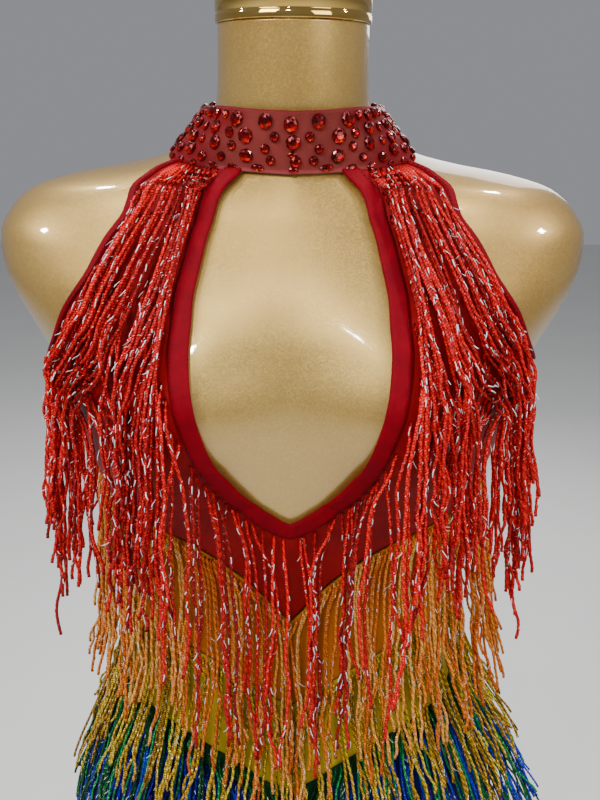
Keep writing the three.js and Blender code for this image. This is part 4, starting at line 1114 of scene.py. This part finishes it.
# --- bands and brief
def band_grid(part, upper, lower, rows, lift, crease=1.0, columns=97):
    span = SIDE_SEAM * (1 - 2 * np.linspace(0, 1, columns))[None, :]
    turn = (180 - span if part == "back" else -span) + np.zeros((rows, 1))
    side = side_of(turn)
    top = seam_curves[upper](side) - (0 if upper == "back_top" else SEAM_GAP)
    share = np.linspace(0, 1, rows)[:, None]
    up = top + (seam_curves[lower](side) - top) * share
    extra = UNDER_LIFT * share**2 if lower == "leg" else 0.0
    return raised(turn, up, lift + extra - creased(turn, up) * crease)


# Bands of net: colour, name, the seams above and below, rows of points, and front or back.
BANDS = [
    ("orange", "orange", "red", "orange", 24, ("front", "back")),
    ("yellow", "yellow", "orange", "yellow", 22, ("front", "back")),
    ("green", "green", "yellow", "green", 18, ("front", "back")),
    ("blue", "blue", "green", "blue", 16, ("front", "back")),
    ("purple", "brief", "blue", "leg", 26, ("front", "back")),
    ("red", "red", "back_top", "red", 26, ("back",)),
]


def make_bands():
    made = {}
    for colour, name, upper, lower, rows, parts in BANDS:
        for part in parts:
            outer = band_grid(part, upper, lower, rows, CLOTH_OUTSIDE)
            inner = band_grid(part, upper, lower, rows, CLOTH_INSIDE, INSIDE_CREASE)
            net_look, node = colour + "_net", "back_red" if colour == "red" else f"{name}_{part}"
            made[(colour, part)] = make_sheet(f"{name}_net_{part}", outer, inner, net_look, net_look, node)
    return made


def make_back_binding():
    turns = 180 - SIDE_SEAM * (1 - 2 * np.linspace(0, 1, 121))
    top = seam_curves["back_top"](side_of(turns))

    def spots(share, height):
        up = top - share * ARM_BINDING_WIDTH
        return raised(turns, up, BINDING_FOOT + height - creased(turns, up))[::-1]

    return make_binding("back_edge_binding", "back_binding", spots, ARM_BINDING_WIDTH, 1.2, 0.8)


def make_front_bindings():
    made = []

    def keyhole(share, height):
        turn, up, extra = halter_spot(row_cuts, share * BINDING_WIDTH / row_lengths)
        turn = turn * row_sides
        pucker = 0.25 * np.sin(row_index * 1.1) * np.exp(-((row_cuts - LAST_CUT) / 1.2) ** 2)
        return raised(turn, up, BINDING_FOOT + height + extra + pucker - creased(turn, up))

    made += make_binding("keyhole_edge_binding", "keyhole_binding", keyhole, BINDING_WIDTH, 1.3, 0.86)
    for hand, side in (("right", -1), ("left", 1)):
        rows = (row_sides == side) & (row_cuts <= UNDERARM_CUT + 1e-6) | (row_cuts == 0)
        cuts, lengths = row_cuts[rows], row_lengths[rows]

        def armhole(share, height):
            turn, up, extra = halter_spot(cuts, 1 - (1 - share) * ARM_BINDING_WIDTH / lengths)
            turn = turn * side
            return raised(turn, up, BINDING_FOOT + height + extra - creased(turn, up))

        name, node = f"armhole_edge_{hand}", f"armhole_binding_{hand}"
        made += make_binding(name, node, armhole, ARM_BINDING_WIDTH, 1.2, 0.2)
    return made


def make_gusset():
    half_width, columns, rows, edge_reach = 40.0, 25, 41, 0.777
    ring = {name: float(curve(LOWEST)) for name, curve in ring_curves.items()}
    power = ring["square"]

    def underside(x, y):
        depth = np.where(y < ring["shift"], ring["front"], ring["back"])
        across, along = np.abs(x) / ring["half"], np.abs(y - ring["shift"]) / depth
        reach = (across ** power + along ** power) ** (1 / power)
        return LOWEST - BOWL_DEPTH * np.sqrt(np.clip(1 - reach * reach, 0, 1))

    share_down = np.linspace(0, 1, rows)[:, None]
    across = np.linspace(-1, 1, columns)[None, :]
    x = half_width * (1 - 0.2 * np.sin(np.pi * share_down)) * across
    share = (edge_reach ** power - (np.abs(x) / ring["half"]) ** power) ** (1 / power)
    y = ring["shift"] - ring["front"] * share + (ring["front"] + ring["back"]) * share * share_down
    slope_x = (underside(x + 1, y) - underside(x - 1, y)) / 2
    slope_y = (underside(x, y + 1) - underside(x, y - 1)) / 2
    down = unit(np.stack([slope_x, slope_y, -np.ones_like(x)], -1))
    skin = np.stack([x, y, WAIST + underside(x, y)], -1)
    outer, inner = skin + down * CLOTH_OUTSIDE, skin + down * CLOTH_INSIDE
    return make_sheet("gusset_net", outer, inner, "purple_net", "purple_net", "gusset")


# --- build
make_form()
make_cap()
make_stand()
collar = make_collar_band()
stones = make_stones(np.random.default_rng(5))
make_hook()
halter = make_halter()
front_bindings = make_front_bindings()
back_bindings = make_back_binding()
bands = make_bands()
gusset = make_gusset()
red_fringe = make_red_fringe(np.random.default_rng(11))
colour_fringe = make_colour_fringe(np.random.default_rng(23))


def declare_cloth():
    for key, piece in bands.items():
        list(colour_fringe[key])


declare_cloth()


# --- stage, light and camera
def make_floor(size=6.0):
    corners = [(-size, -size, 0), (size, -size, 0), (size, size, 0), (-size, size, 0)]
    mesh = bpy.data.meshes.new("floor")
    mesh.from_pydata(corners, [], [(0, 1, 2, 3)])
    floor = bpy.data.objects.new("floor", mesh)
    bpy.context.scene.collection.objects.link(floor)
    s = Shader("floor_pale", Roughness=0.8)
    mesh.materials.append(s.finish(s.mix(s.noise(s.place(), 4.0, 3.0), linear("D9D9D6"), linear("E2E2DF"))))


def make_light(name, place, target_up, size, power):
    data = bpy.data.lights.new(name, "AREA")
    data.shape = "RECTANGLE"
    data.size, data.size_y = size
    data.energy = power
    light = bpy.data.objects.new(name, data)
    light.location = place
    light.rotation_mode = "QUATERNION"
    light.rotation_quaternion = (Vector((0, 0, target_up)) - Vector(place)).to_track_quat("-Z", "Y")
    bpy.context.scene.collection.objects.link(light)


def make_world():
    world = bpy.data.worlds.new("studio")
    world.use_nodes = True
    background = world.node_tree.nodes["Background"]
    background.inputs["Color"].default_value = linear("D4D6DC")
    background.inputs["Strength"].default_value = 0.42
    bpy.context.scene.world = world


# The photograph's view: 17 degrees down at the chest, with the camera tipped a little.
CAMERA = {"place": (0.006, -0.6686, 0.889), "down": 17.0, "tip": 0.4, "focal_px": 950.0, "long_px": 800.0}


def make_camera():
    data = bpy.data.cameras.new("camera")
    data.sensor_width = 36.0
    data.lens = data.sensor_width * CAMERA["focal_px"] / CAMERA["long_px"]
    data.clip_start, data.clip_end = 0.01, 50.0
    camera = bpy.data.objects.new("camera", data)
    down, tip = math.radians(CAMERA["down"]), math.radians(CAMERA["tip"])
    forward = Vector((0, math.cos(down), -math.sin(down)))
    right = Vector((1, 0, 0))
    up = right.cross(forward)
    tipped_right = right * math.cos(tip) + up * math.sin(tip)
    tipped_up = up * math.cos(tip) - right * math.sin(tip)
    camera.matrix_world = Matrix.Translation(CAMERA["place"]) @ Matrix(
        (tipped_right, tipped_up, -forward)
    ).transposed().to_4x4()
    bpy.context.scene.collection.objects.link(camera)
    bpy.context.scene.camera = camera


# Softboxes: place, height that they are turned to, size, and power.
SOFTBOXES = {
    "key": ((-1.0, -1.3, 1.9), 0.7, (0.8, 0.8), 30), "fill": ((1.1, -1.2, 1.4), 0.65, (0.8, 0.9), 13),
    "top": ((0.1, 0.1, 2.3), 0.8, (1.2, 0.8), 14), "back": ((0.4, 1.5, 1.5), 0.7, (1.2, 1.0), 12),
}
CEILING_LAMPS = {
    "left_side": (-1.4, -0.1, 1.75), "left_rear": (-0.9, 0.6, 2.2), "left_high": (-0.7, -0.25, 2.0),
    "right_side": (1.35, -0.05, 1.75), "right_rear": (0.95, 0.55, 2.2), "right_high": (0.75, -0.3, 2.0),
    "front": (-0.15, -1.2, 1.75),
}

make_floor()
make_world()
for name, softbox in SOFTBOXES.items():
    make_light(name, *softbox)
for name, place in CEILING_LAMPS.items():
    make_light("lamp_" + name, place, 0.75, (0.08, 0.08), 5)
make_camera()
